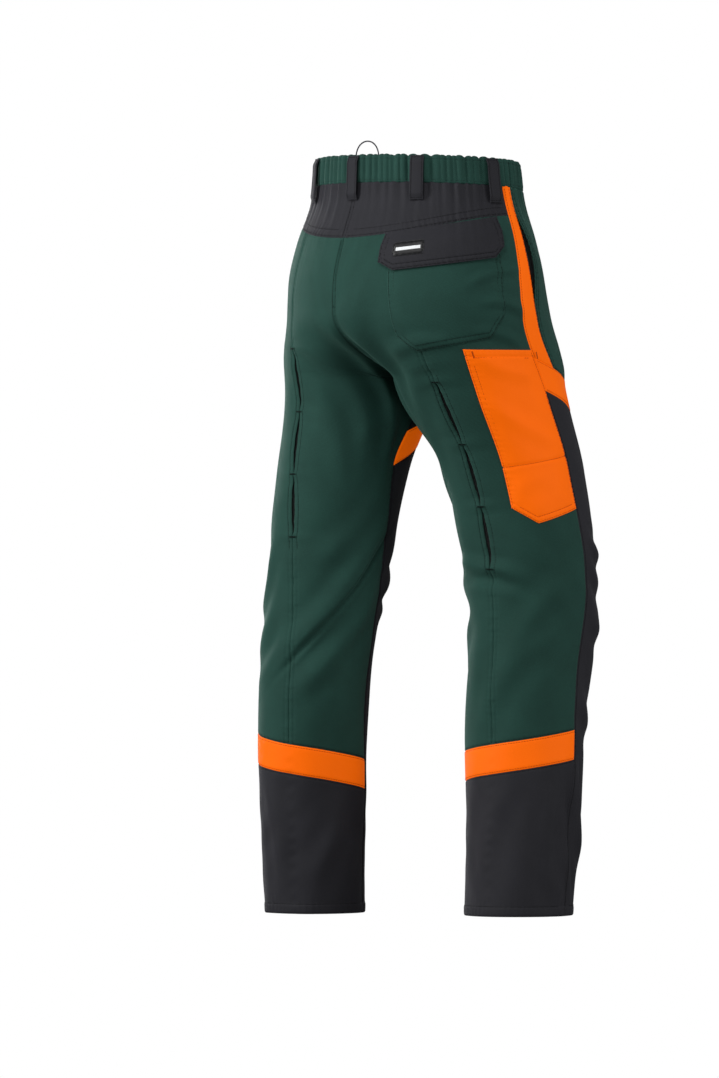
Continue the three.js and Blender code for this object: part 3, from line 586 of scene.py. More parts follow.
def grid_object(name, points, uv, material, out, keep=None, closed=False):
    """A mesh from a grid of points, rows by columns, with a UV map in metres. Its faces look along out;
    keep masks its faces, and closed joins the last row to the first and closes both ends."""
    rows, columns = points.shape[:2]
    i, j = np.meshgrid(np.arange(rows - (not closed)), np.arange(columns - 1), indexing="ij")
    low, high = i * columns + j, (i + 1) % rows * columns + j
    quads = np.stack([low, high, high + 1, low + 1], -1).reshape(-1, 4)
    if keep is not None:
        quads = quads[keep.ravel()]
    flat = points.reshape(-1, 3)
    look = np.cross(flat[quads[:, 2]] - flat[quads[:, 0]], flat[quads[:, 3]] - flat[quads[:, 1]])
    if (look * np.broadcast_to(out, points.shape).reshape(-1, 3)[quads[:, 0]]).sum() < 0:
        quads = quads[:, ::-1]
    faces = quads.tolist()
    if closed:
        for first, inwards in ((0, 1), (columns - 1, -1)):
            end = np.arange(rows) * columns + first
            ring, centre = flat[end], flat[end].mean(0)
            turn = np.cross(ring - centre, np.roll(ring, -1, 0) - centre).sum(0)
            beyond = centre - flat[end + inwards].mean(0)
            faces.append((end if turn @ beyond > 0 else end[::-1]).tolist())
    mesh = bpy.data.meshes.new(name)
    mesh.from_pydata((flat / 1000).tolist(), [], faces)
    layer = mesh.uv_layers.new(name="cloth")
    corners = np.concatenate([np.asarray(f) for f in faces])
    layer.data.foreach_set("uv", (uv.reshape(-1, 2)[corners] / 1000).astype(np.float32).ravel())
    return link(mesh, name, material)


def thicken(piece, thickness):
    """Gives a sheet its second face, thickness behind the first."""
    solid = piece.modifiers.new("cloth", "SOLIDIFY")
    solid.thickness, solid.offset = thickness / 1000, -1
    solid.use_quality_normals = True


# ---------------------------------------------------------------- cloth and thread
# Workwear twill is woven polyester and cotton with a fine diagonal rib and a faint bloom of loose fibre.
# The real rib is 0.5 mm apart; it is drawn at 1.5 mm so that it shows.
RIB_MM = 1.5


def woven(
    name,
    dye,
    light_thread,
    rib=RIB_MM,
    depth=0.14,
    rough=0.82,
    bloom=0.22,
    slant=0.52,
    worn=0.1,
    gloss=0.25,
    bloom_tint="#FFFFFF",
    glow=0.0,
    glow_tint="#FF6C00",
):
    """Cloth: ribs across the piece's own UV map, two thread shades, slow dye variation, and a bump of rib
    and slub."""
    material, tree = blank(bpy.data.materials, name)
    on_cloth = {"Vector": node(tree, "ShaderNodeUVMap", uv_map="cloth").outputs[0]}
    turned = node(tree, "ShaderNodeMapping", on_cloth, Rotation=(0, 0, slant))
    across = {"Vector": turned.outputs[0]}
    # The wave texture repeats every pi / 10 of its coordinate times the scale.
    ribs = node(tree, "ShaderNodeTexWave", across, Scale=math.pi * 100 / rib, Distortion=0.8, Detail=1.0)
    slub = node(tree, "ShaderNodeTexNoise", on_cloth, Scale=520.0, Detail=3.0, Roughness=0.6)
    dyeing = node(tree, "ShaderNodeTexNoise", on_cloth, Scale=17.0, Detail=5.0, Roughness=0.6)
    shade = node(
        tree,
        "ShaderNodeMix",
        {0: ribs.outputs["Fac"]},
        data_type="RGBA",
        A=linear(dye),
        B=linear(light_thread),
    )
    fading, fibre = (
        node(
            tree,
            "ShaderNodeMapRange",
            {"Value": noise.outputs["Fac"]},
            From_Min=0.3,
            From_Max=0.7,
            To_Min=1 - spread_by,
            To_Max=1 + spread_by,
        )
        for noise, spread_by in ((dyeing, worn), (slub, 1.2 * worn))
    )
    both = node(tree, "ShaderNodeMath", {0: fading.outputs[0], 1: fibre.outputs[0]}, operation="MULTIPLY")
    tint = node(tree, "ShaderNodeHueSaturation", {"Color": shade.outputs[2], "Value": both.outputs[0]})
    height = node(tree, "ShaderNodeMath", {0: ribs.outputs["Fac"], 1: slub.outputs["Fac"]}, operation="ADD")
    bump = node(tree, "ShaderNodeBump", {"Height": height.outputs[0]}, Strength=0.6, Distance=depth / 1000)
    shader = node(
        tree,
        "ShaderNodeBsdfPrincipled",
        {"Base Color": tint.outputs["Color"], "Normal": bump.outputs[0]},
        Roughness=rough,
        Sheen_Weight=bloom,
        Sheen_Roughness=0.45,
        Sheen_Tint=linear(bloom_tint),
        Specular_IOR_Level=gloss,
        # Emission of glow_tint at strength glow: a painted glow, which shines whether light falls on the
        # cloth or not.
        Emission_Color=linear(glow_tint),
        Emission_Strength=glow,
    )
    node(tree, "ShaderNodeOutputMaterial", {"Surface": shader.outputs[0]})
    return material


# Green twill: matt, and its loose fibre catches a pale green light along the edges.
green_twill = woven(
    "green_polycotton_twill", "#15302A", "#1F423A", gloss=0.16, bloom=0.3, bloom_tint="#6F9E90"
)
# Stretch polyamide, dyed nearly black: finer and tighter than the twill, with hardly any bloom.
dark_stretch = woven(
    "anthracite_stretch_polyamide",
    "#17171B",
    "#222228",
    rib=1.3,
    depth=0.1,
    rough=0.78,
    bloom=0.1,
    bloom_tint="#8A8796",
)
# Fluorescent dye turns some of the light that falls on it into orange; here a constant emission, a painted
# glow that shines whatever the light, keeps the orange bright and even in shade.
orange_twill = woven(
    "orange_fluorescent_twill_painted_glow",
    "#C44A00",
    "#D35A00",
    rib=1.4,
    depth=0.12,
    rough=0.66,
    bloom=0,
    worn=0.04,
    gloss=0.1,
    glow=0.4,
)
# Lining: a thin, close plain weave, smooth and grey.
lining_cloth = woven("polyester_lining", "#2B2E31", "#383B3E", rib=1.0, depth=0.06, rough=0.7, bloom=0.05)


def plain_thread(name, colour):
    """Sewing thread: spun polyester with a fine twist along its own axis, too thin to need more than a
    slub."""
    material, tree = blank(bpy.data.materials, name)
    place = node(tree, "ShaderNodeTexCoord")
    twist = node(tree, "ShaderNodeTexNoise", {"Vector": place.outputs["Object"]}, Scale=1800.0, Detail=2.0)
    bump = node(tree, "ShaderNodeBump", {"Height": twist.outputs["Fac"]}, Strength=0.5, Distance=0.0001)
    shader = node(
        tree,
        "ShaderNodeBsdfPrincipled",
        {"Normal": bump.outputs[0]},
        Base_Color=linear(colour),
        Roughness=0.75,
        Specular_IOR_Level=0.15,
    )
    node(tree, "ShaderNodeOutputMaterial", {"Surface": shader.outputs[0]})
    return material


# Each cloth's thread is coloured a little darker than the cloth: painted shade for the dark line that a row
# of stitches shows in the cloth.
THREADS = {
    green_twill: plain_thread("green_polyester_thread", "#0A1A16"),
    dark_stretch: plain_thread("black_polyester_thread", "#121214"),
    orange_twill: plain_thread("orange_polyester_thread", "#B84600"),
    lining_cloth: plain_thread("grey_polyester_thread", "#1D1F21"),
}
SLOTS = {
    green_twill: "green_twill",
    dark_stretch: "dark_stretch",
    orange_twill: "orange_twill",
    lining_cloth: "lining",
}
STITCH, STITCH_GAP, THREAD_RADIUS, TACK_RADIUS = 3.0, 0.8, 0.4, 0.33


def threads(name, centres, along_them, normals, length, radius, material):
    """Many short stitches in one mesh: each is a six-sided bead of four rings round its own direction."""
    along_them = along_them / np.linalg.norm(along_them, axis=-1, keepdims=True)
    sideways = np.cross(along_them, normals)
    sideways /= np.linalg.norm(sideways, axis=-1, keepdims=True)
    up = np.cross(sideways, along_them)
    rings, swell = np.array([-0.5, -0.36, 0.36, 0.5]), np.array([0.3, 1, 1, 0.3])
    turn = np.arange(6) * np.pi / 3
    round_it = radius * (
        sideways[:, None, None] * (np.cos(turn)[None, :, None] * swell[:, None, None])
        + up[:, None, None] * (np.sin(turn)[None, :, None] * swell[:, None, None] * 0.8)
    )
    beads = centres[:, None, None] + along_them[:, None, None] * (rings[:, None, None] * length) + round_it
    base = (np.arange(len(centres)) * 24)[:, None, None]
    k, r = np.meshgrid(np.arange(6), np.arange(3) * 6)
    after = (k + 1) % 6
    quads = base[..., None] + np.stack([r + k, r + 6 + k, r + 6 + after, r + after], -1)
    ends = np.concatenate([base[:, 0] + np.arange(6), base[:, 0] + 18 + np.arange(6)[::-1]])
    mesh = bpy.data.meshes.new(name)
    faces = quads.reshape(-1, 4).tolist() + ends.tolist()
    mesh.from_pydata((beads.reshape(-1, 3) / 1000).tolist(), [], faces)
    return link(mesh, name, material)


def joined(parts):
    """Lists of (centres, directions, normals), each joined end to end into one array."""
    return [np.concatenate(arrays) for arrays in zip(*parts)]


def stitches(name, lines, material, stitch=STITCH, gap=STITCH_GAP):
    """Rows of stitches along lines; each line is a (points, normals) pair of arrays."""
    parts = []
    for points, out_of in lines:
        walked = np.concatenate([[0], np.cumsum(np.linalg.norm(np.diff(points, axis=0), axis=1))])
        at = np.arange(stitch, walked[-1] - stitch / 2, stitch + gap)
        place, ahead, behind, normal = (
            np.stack([np.interp(at + step, walked, values[:, k]) for k in range(3)], -1)
            for values, step in ((points, 0), (points, 1), (points, -1), (out_of, 0))
        )
        parts.append((place, ahead - behind, normal))
    return threads(name, *joined(parts), stitch, THREAD_RADIUS, material)


def tacks(name, marks, material, wide=2.4):
    """Bar tacks in one mesh: close stitches, each wide across a short line. A mark is side, angle, height,
    lean from upright, length and offset."""
    parts = []
    for side, angle, z, lean, long, offset in marks:
        steps = np.linspace(-0.5, 0.5, int(long / 0.55)) * long
        angles = angle + np.sin(lean) * steps / reach(np.float64(angle), np.float64(z)) / RAD
        heights = z + np.cos(lean) * steps
        centres, normals = skin(side, angles, heights, offset + 0.2), outward(side, angles, heights)
        parts.append((centres, np.cross(np.gradient(centres, axis=0), normals), normals))
    return threads(name, *joined(parts), wide, TACK_RADIUS, material)


# ---------------------------------------------------------------- panels of the shell
# The shell is cut from flat cloth: panels are sewn edge to edge with the raw edges turned in, so every seam
# is a narrow groove with a soft roll on both sides. Panels that pass the knee are baked in place and fixed
# to no body.
CLOTH_THICK = 1.1
ROOT = "waist_and_thighs"


def put(piece, rides):
    """Fixes a piece to its body. Where rides is knee, its transform is only baked into its mesh, and it is
    fixed to no body."""
    if rides != "knee":
        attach(piece, rides)
        return
    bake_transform(piece)


def sew(name, rows, cloth, rides, side=None, **spacing):
    """The stitching of one piece, in its cloth's thread, which moves with it."""
    sewing = stitches(name, rows, THREADS[cloth], **spacing)
    put(sewing, rides)


ROLL_WIDE = 1.3  # how far a turned edge rolls in from the seam
STITCH_SINK, STITCH_CHANNEL = 0.6, 1.1  # depth and half width of the channel that a row of stitches pulls in
PUCKER_HIGH, PUCKER_APART = 0.22, 1.15


def panel(
    name,
    side,
    edges,
    cloth,
    rides=ROOT,
    nodes=(),
    sewn=(),
    offset=0.0,
    thickness=CLOTH_THICK,
    roll=1.1,
    step=2.3,
    trim=SEAM / 2,
    shape=None,
):
    """A panel and its topstitching: the skin over the (u, v) grid between its edges, rolled in at the edges
    by roll and drawn in along each stitch line. sewn lists (edge, inset, from, to); shape adds to the
    offset."""
    line = np.linspace(0, 1, 60)
    through_middle = ((line, 0 * line + 0.5), (0 * line + 0.5, line))
    walks = (skin(side, *solve(side, edges, *uv, trim), folded=False) for uv in through_middle)
    wide, tall = (np.linalg.norm(np.diff(walk, axis=0), axis=1).sum() for walk in walks)
    insets = {edge: [s[1] for s in sewn if s[0] == edge] for edge in ("from", "to", "top", "bottom")}
    columns = spread(wide, step, insets["from"], insets["to"])
    u, v = np.meshgrid(columns, spread(tall, step, insets["top"], insets["bottom"]))
    angle, z = solve(side, edges, u, v, trim)
    row, column, away = edge_distances(skin(side, angle, z, offset, folded=False))
    rim = np.minimum.reduce(list(away.values()))
    lift = offset - roll * np.exp(-((rim / ROLL_WIDE) ** 2))
    for edge, inset, *_ in sewn:
        across, run = away[edge], (column if edge in ("from", "to") else row)
        near = np.exp(-(((across - inset * 0.6) / (2 + inset)) ** 2))
        pucker = np.sin(run / PUCKER_APART + 2 * np.sin(run / 9)) * near
        channel = np.exp(-(((across - inset) / STITCH_CHANNEL) ** 2))
        lift = lift - STITCH_SINK * channel + PUCKER_HIGH * pucker
    if shape is not None:
        lift = lift + shape(angle, z, away)
    points = skin(side, angle, z, lift)
    i, j = points.shape[0] // 2, points.shape[1] // 2
    uv = np.stack([row - row[:, j : j + 1], column - column[i : i + 1]], -1)
    made = grid_object(name, points, uv, cloth, outward(side, angle, z))
    thicken(made, thickness)
    put(made, rides)
    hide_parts(*nodes)
    if not sewn:
        return
    rows = []
    for edge, inset, *part in sewn:
        t = np.linspace(*(part or (0, 1)), 400)
        uv = {"from": (0 * t, t), "to": (0 * t + 1, t), "top": (t, 0 * t), "bottom": (t, 0 * t + 1)}[edge]
        at = solve(side, edges, *uv, inset)
        height = 0 if shape is None else shape(*at, {e: 0 * t + (inset if e == edge else 99) for e in away})
        rows.append((skin(side, *at, offset + height - 0.25), outward(side, *at)))
    sew(name.rsplit("_", 1)[0] + "_topstitch", rows, cloth, rides, side)


def between(start, end, top, bottom):
    """The four seam lines that a panel lies between."""
    return {"from": start, "to": end, "top": top, "bottom": bottom}


VENT_GAPE = 3.0


def vent_edge(side, sign):
    """The back seam's angle, drawn back into three eye-shaped openings between its bar tacks."""
    top, bottom = VENT[side]

    def line(z):
        t = (top - z) / (top - bottom) * VENT_OPENINGS
        inside = (t > 0) & (t < VENT_OPENINGS)
        open_by = np.where(inside, np.abs(np.sin(np.pi * t)) ** 0.8, 0) * VENT_GAPE
        return BACK_SEAM[side] + sign * open_by / reach(BACK_SEAM[side] + 0 * z, z) / RAD

    return line


def strip_edge(z):
    """Front edge of the orange strip along the slanted pocket, 15 to 36 mm from the side seam."""
    wide = 15 + 21 * smooth((-z - 30) / 240)
    return side_seam(z) - wide / reach(side_seam(z), z) / RAD


MOUTH_TOP, MOUTH_TALL, MOUTH_GAPE = -72, 132, 11


def mouth_edge(z):
    """The pocket's mouth gapes a little between the strip and the front panel, as a sine down its height."""
    down = (MOUTH_TOP - z) / MOUTH_TALL
    inside = (down > 0) & (down < 1)
    gape = np.where(inside, MOUTH_GAPE * np.sin(np.pi * np.clip(down, 0, 1)) ** 1.3, 0)
    return strip_edge(z) - gape / reach(side_seam(z), z) / RAD


rise = {side: (along(rise_lines[side, "back"]), along(rise_lines[side, "front"])) for side in SIDES}

# Yoke: stretch cloth over the small of the back, gathered into the waistband. Its lower edge is topstitched
# twice, and the gathers die out below.
for side in SIDES:
    panel(
        f"{side}_yoke_panel",
        side,
        between(side_seam_back, rise[side][0], under_band, yoke_bottom),
        dark_stretch,
        nodes=[f"{side}_yoke"],
        sewn=[("bottom", 2.6), ("bottom", 11.5), ("to", 2.4)],
        step=1.7,
    )

# Back panels: green twill from the yoke to the calf, in an outer and an inner length. The seam between them
# is left open in three vents, and beside them each edge is stitched down. Bar tacks close the seam between
# the vents.
BACK_TOP, BACK_TALL, VENT_HEM, TACK_LONG = -95, 715, 6.5, 9.0
for side in SIDES:
    outer = between(side_seam_back, vent_edge(side, -1), yoke_bottom, calf_top)
    inner = between(vent_edge(side, 1), rise[side][0], yoke_bottom, calf_top)
    top, bottom = VENT[side]
    vented = (BACK_TOP - top - 14) / BACK_TALL, (BACK_TOP - bottom + 10) / BACK_TALL
    for which, edges, sewn in (
        ("back_outer", outer, [("to", VENT_HEM, *vented), ("bottom", 2.4)]),
        ("back_inner", inner, [("from", VENT_HEM, *vented), ("bottom", 2.4), ("to", 2.4, 0, 0.3)]),
    ):
        panel(
            f"{side}_{which}_panel",
            side,
            edges,
            green_twill,
            rides="knee",
            nodes=[f"{side}_{which}_upper", f"{side}_{which}_lower", f"{side}_knee_back"],
            sewn=sewn,
        )
    heights = np.linspace(top, bottom, VENT_OPENINGS + 1)
    marks = [(side, BACK_SEAM[side], z, math.pi / 2, TACK_LONG, 0.3) for z in heights]
    tacked = tacks(f"{side}_vent_tacks", marks, THREADS[green_twill])
    put(tacked, "knee")

# Mesh behind the vents: black warp-knitted polyester with holes 2.4 mm apart, in a strip sewn to both edges
# of the seam. The holes are not cut but painted near black, painted shade for the dark inside seen through
# them, and the dark grey yarn between them is lighter.
mesh_knit, tree = blank(bpy.data.materials, "black_warp_knit_mesh")
uv = node(tree, "ShaderNodeUVMap", uv_map="cloth")
holes = node(tree, "ShaderNodeTexVoronoi", {"Vector": uv.outputs[0]}, Scale=420.0, Randomness=0.15)
ring = node(tree, "ShaderNodeMapRange", {"Value": holes.outputs["Distance"]}, From_Min=0.25, From_Max=0.5)
# The holes get the near-black colour, painted shade for the dark inside behind the mesh; the yarn gets the
# dark grey.
yarn = node(
    tree,
    "ShaderNodeMix",
    {0: ring.outputs[0]},
    data_type="RGBA",
    A=linear("#050606"),
    B=linear("#1B1D1E"),
)
knots = node(tree, "ShaderNodeBump", {"Height": ring.outputs[0]}, Strength=0.9, Distance=0.0004)
shader = node(
    tree,
    "ShaderNodeBsdfPrincipled",
    {"Base Color": yarn.outputs[2], "Normal": knots.outputs[0]},
    Roughness=0.6,
    Sheen_Weight=0.1,
)
node(tree, "ShaderNodeOutputMaterial", {"Surface": shader.outputs[0]})
SLOTS[mesh_knit] = "mesh"
for side in SIDES:
    top, bottom = VENT[side]
    panel(
        f"{side}_vent_mesh_knit",
        side,
        between(level(BACK_SEAM[side] - 7), level(BACK_SEAM[side] + 7), level(top + 12), level(bottom - 4)),
        mesh_knit,
        nodes=[f"{side}_vent_mesh"],
        offset=-6,
        thickness=0.8,
        roll=0,
        step=3,
    )

# Calf bands: orange twill round the back of the calf, stitched along both edges.
for side in SIDES:
    panel(
        f"{side}_calf_band_cloth",
        side,
        between(side_seam_back, inseam, calf_top, calf_bottom),
        orange_twill,
        rides=f"{side}_lower_leg",
        nodes=[f"{side}_calf_band"],
        sewn=[("top", 2.2), ("bottom", 2.2)],
        offset=0.5,
        thickness=1.4,
    )

# Lower back panels: tougher dark cloth down to the hem, which is turned up twice and stitched 14 mm above
# the edge.
HEM_TALL = 14


def turned_hem(angle, z, away):
    """The turned-up hem stands 0.9 proud."""
    return 0.9 * smooth((HEM_TALL + 2 - away["bottom"]) / 3)


for side in SIDES:
    panel(
        f"{side}_lower_back_panel",
        side,
        between(side_seam_back, inseam, calf_bottom, level(HEM_Z)),
        dark_stretch,
        rides=f"{side}_lower_leg",
        nodes=[f"{side}_lower_back"],
        sewn=[("bottom", HEM_TALL), ("top", 2.4)],
        shape=turned_hem,
    )

# Front hips: green twill from the waistband to the thigh band, with a stitched hem along the pocket's
# mouth. The mouth's edge hangs a little away from the strip.
def loose_mouth(angle, z, away):
    """The edge at the mouth stands off by up to 3.5, as a sine down it, which dies out 25 from the edge."""
    return 3.5 * np.sin(np.pi * np.clip((-60 - z) / 156, 0, 1)) * np.exp(-((away["from"] / 25) ** 2))


for side in SIDES:
    panel(
        f"{side}_front_hip_panel",
        side,
        between(mouth_edge, gusset_edge(side), under_band, band_top),
        green_twill,
        nodes=[f"{side}_front_hip"],
        sewn=[("from", 2.6), ("from", 9), ("bottom", 2.4)],
        shape=loose_mouth,
    )

# Pocket bags: thin lining behind the slanted pockets, two layers sewn round the edge into a flat pouch.
for side in SIDES:
    panel(
        f"{side}_pocket_bag_cloth",
        side,
        between(lambda z: strip_edge(z) - 0.5, level(296), level(-66), level(-252)),
        lining_cloth,
        nodes=[f"{side}_pocket_bag"],
        sewn=[("bottom", 6), ("to", 6)],
        offset=-5.4,
        thickness=3.6,
        step=3.4,
    )

# Orange strips that edge the slanted pockets, from the waistband to the thigh band, stitched along both
# edges.
for side in SIDES:
    panel(
        f"{side}_pocket_strip_cloth",
        side,
        between(side_seam, strip_edge, under_band, band_top),
        orange_twill,
        nodes=[f"{side}_pocket_strip"],
        sewn=[("from", 2.2), ("to", 2.2)],
        offset=0.3,
    )

# Gussets: dark stretch cloth let into the inner thighs, from a point under the crotch to the thigh band.
for side in SIDES:
    panel(
        f"{side}_thigh_gusset_panel",
        side,
        between(gusset_edge(side), rise[side][1], level(-311), band_top),
        dark_stretch,
        nodes=[f"{side}_thigh_gusset"],
        sewn=[("from", 2.4)],
    )

# Thigh bands: orange twill round the front of the thigh, above the dark cloth.
for side in SIDES:
    panel(
        f"{side}_thigh_band_cloth",
        side,
        between(side_seam, inseam, band_top, band_bottom),
        orange_twill,
        nodes=[f"{side}_thigh_band"],
        sewn=[("top", 2.2), ("bottom", 2.2)],
        offset=0.5,
        thickness=1.4,
    )

# Front leg panels: dark cloth over the cut protection, from the thigh band to the hem.
for side in SIDES:
    panel(
        f"{side}_front_leg_panel",
        side,
        between(side_seam, inseam, band_bottom, level(HEM_Z)),
        dark_stretch,
        rides="knee",
        nodes=[f"{side}_front_leg_upper", f"{side}_front_leg_lower"],
        sewn=[("bottom", HEM_TALL), ("from", 2.4), ("to", 2.4)],
        step=2.6,
        shape=turned_hem,
    )

# Cut-protection pads: nine loose layers of long polyester fibre, quilted into a lining of light knitted
# cloth, which hang inside the front of each leg. The quilted rows are 62 mm apart, and the lining is pale,
# soft and matt.
QUILT_ROWS, PAD_DEPTH = 62, -10
PAD_OUTSIDE, PAD_INSIDE, PAD_END = 336, 202, HEM_Z + 55
pad_lining = woven(
    "light_knitted_lining", "#B9BCB8", "#D3D5D1", rib=1.2, depth=0.1, rough=0.85, bloom=0.2, slant=0
)
SLOTS[pad_lining] = "protection"
for side in SIDES:
    edges = between(level(PAD_OUTSIDE), level(PAD_INSIDE), lambda a, p=None: band_top(a) - 6, level(PAD_END))
    u, v = np.meshgrid(np.linspace(0, 1, 70), np.linspace(0, 1, 200))
    angle, z = solve(side, edges, u, v, 0)
    row, column, away = edge_distances(skin(side, angle, z, PAD_DEPTH, folded=False))
    rim = np.minimum.reduce(list(away.values()))
    from_row = (column + QUILT_ROWS / 2) % QUILT_ROWS - QUILT_ROWS / 2
    plump = 1 - np.exp(-rim / 5) * 0.9 - 0.7 * np.exp(-(from_row / 5) ** 2)
    half_thick = 0.4 + 2.9 * np.clip(plump, 0, 1)
    front, back = (skin(side, angle, z, PAD_DEPTH + sign * half_thick) for sign in (1, -1))
    normals = outward(side, angle, z)
    # Across the front, back across the other face, and so round into a tube, which is flat and closed at
    # both ends.
    points, facing = (
        np.concatenate([face, behind[:, ::-1]], 1).transpose(1, 0, 2)
        for face, behind in ((front, back), (normals, -normals))
    )
    walked = np.stack([lengths(points, 0), lengths(points, 1)], -1)
    pad = grid_object(f"{side}_cut_protection_pad", points, walked, pad_lining, facing, closed=True)
    put(pad, "knee")
    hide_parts(f"{side}_cut_protection_upper", f"{side}_cut_protection_lower")

# ---------------------------------------------------------------- waistband
# A folded strip of green twill, drawn up tight over elastic, so that it stands in close upright folds. The
# elastic is sewn in along both edges.
BAND_END = 174  # the waist angle at which it stops, beside the fly
BAND_FLAT = 150  # the folds die out from here to the end
BAND_THICK = 7
SEWN_AT = (0.14, 0.9)  # its two rows of stitches, as shares of its height
LAPS_OVER = 1.0  # how far its lower edge covers the panels


def waist_point(angle, z, offset):
    """Points on the body's oval: (-W sin, middle + D cos) of the waist angle, moved outwards by offset."""
    width, front, back = through(BODY, z)
    c, s = np.cos(angle * RAD), np.sin(angle * RAD)
    out_of = np.stack([-s / width, c / ((back - front) / 2), 0 * s], -1)
    out_of /= np.linalg.norm(out_of, axis=-1, keepdims=True)
    p = np.stack([-width * s, (front + back) / 2 + (back - front) / 2 * c, z + 0 * s], -1)
    return p + out_of * np.asarray(offset + 0 * s)[..., None], out_of


def band_folds(s):
    """Tight folds of the elastic waistband along the length s: narrow valleys between rounded ridges."""
    sway = 9 * np.sin(s / 37) + 5 * np.sin(s / 17 + 2)
    narrow = 1 - np.abs(np.sin((s + sway) * np.pi / 12.5)) ** 0.55
    wide = 1 - np.abs(np.sin((s - 0.7 * sway) * np.pi / 19.3 + 1)) ** 0.6
    uneven = 0.75 + 0.35 * np.sin(s / 29 + 1) * np.sin(s / 11)
    return -4.2 * uneven * narrow**1.15 - 3.4 * (1.6 - uneven) * wide + 1.8


def puffed(depth):
    """The folds are deepest between the two sewn edges."""
    return 0.45 + 0.55 * np.sin(np.pi * np.clip(depth, 0, 1)) ** 0.5


def bump_at(depth, place, wide):
    """A round ridge at a share of the band's height, wide mm to each side."""
    return np.exp(-(((depth - place) * BAND_TALL / wide) ** 2))


# The closed outline of the band's cross-section: how far across its thickness, and how far down its height.
turns = np.linspace(0, 1, 9)[1:-1]
down = np.linspace(0, 1, 22)
outline = np.concatenate(
    [
        np.stack([0 * down, down], -1),
        np.stack([turns, 1 + 0 * turns], -1),
        np.stack([0 * down + 1, 1 - down], -1),
        np.stack([1 - turns, 0 * turns], -1),
    ]
)
angle = np.linspace(-BAND_END, BAND_END, 760)
base = waist_point(angle, np.full(angle.shape, -10.0), 0)[0]
s = lengths(base, 0)
across, depth = outline[:, :1], outline[:, 1:]
top, bottom = waist_top(base[:, 1]), waist_bottom(base[:, 1]) - LAPS_OVER
held_flat = smooth((np.abs(angle) - BAND_FLAT) / 14)
wave = band_folds(s) * (1 - 0.75 * held_flat)
pinch = sum(0.5 * bump_at(depth, share, 1.6) for share in SEWN_AT)
edge_round = 1.3 * (bump_at(depth, 0, 1.5) + bump_at(depth, 1, 1.5))
outer_offset = wave * puffed(depth) - pinch - edge_round + 0.4
inner_offset = 0.4 - BAND_THICK - 0.3 * wave + 0.4 * edge_round
offset = outer_offset * (1 - across) + inner_offset * across
# The top edge frills a little with the folds, and it is rounded across the band's thickness.
frill = 0.75 * band_folds(s) * bump_at(depth, 0, 4) * (1 - held_flat)
z = top + (bottom - top) * depth + frill - 0.6 * bump_at(depth, 0, 3) * (across * 2 - 1) ** 2
points, out_of = waist_point(angle[None] + 0 * z, z, offset)
facing = out_of * (1 - 2 * (across > 0.5))[..., None]
uv = np.stack([s[None] + 0 * z, lengths(points, 0)], -1)
band = grid_object("waistband_cloth", points, uv, green_twill, facing, closed=True)
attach(band, ROOT)
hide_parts("waistband")
rows = [waist_point(angle, top + (bottom - top) * share, wave * puffed(share) - 0.35) for share in SEWN_AT]
sew("waistband_topstitch", rows, green_twill, ROOT)

# Elastic inside the waistband: woven rubber and polyester, off-white, with raised ribs along its length.
lengthwise = math.pi / 2
elastic = woven(
    "ribbed_woven_elastic",
    "#C9C7BE",
    "#E2E0D8",
    rib=2.2,
    depth=0.3,
    rough=0.8,
    bloom=0.1,
    slant=lengthwise,
)
angle = np.linspace(-BAND_END + 6, BAND_END - 6, 240)[None]
depth = np.linspace(0, 1, 8)[:, None]
base = waist_point(angle, np.full(angle.shape, -10.0), 0)[0]
z = (waist_top(base[..., 1]) - 6) * (1 - depth) + (waist_bottom(base[..., 1]) + 7) * depth
points, out_of = waist_point(angle + 0 * z, z, -3.2)
row, column, _ = edge_distances(points)
band = grid_object("waist_elastic_band", points, np.stack([row, column], -1), elastic, out_of)
thicken(band, 0.8)
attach(band, ROOT)
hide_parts("waist_elastic")

# Belt loops: seven straps of dark stretch cloth, folded in three, 20 mm wide. The upper end is caught under
# the waistband's top edge and the lower end is bar-tacked to the yoke.
LOOP_WIDE, LOOP_THICK, LOOP_ROOM, LOOP_LONG, LOOP_LIFT = 20, 1.8, 3.4, 62, 1.6
BELT_LOOPS = {
    "centre_back": 0,
    "right_back": 37.5,
    "left_back": -37.5,
    "right_side": 83,
    "left_side": -83,
    "right_front": 152,
    "left_front": -152,
}


def strap(name, middle, out_of, side_way, wide, thick, material):
    """A flat strap: an oblong with rounded edges, carried along the middle line and closed at both ends."""
    turn = np.linspace(0, 2 * np.pi, 28, endpoint=False)[:, None]
    c, s = np.cos(turn), np.sin(turn)
    x, y = np.sign(c) * np.abs(c) ** 0.35 * wide / 2, np.sign(s) * np.abs(s) ** 0.5 * thick / 2
    # Both long edges are stitched down 2.4 mm in, which leaves a shallow channel.
    y = y - 0.25 * np.sign(y) * np.exp(-(((np.abs(x) - wide / 2 + 2.4) / 0.9) ** 2))
    points = middle[None] + side_way * x[..., None] + out_of[None] * y[..., None]
    facing = side_way * x[..., None] * 0.1 + out_of[None] * y[..., None]
    walked = np.stack([0 * x + turn * wide / 3 + 0 * middle[None, :, 0], lengths(points, 1)], -1)
    return grid_object(name, points, walked, material, facing, closed=True)


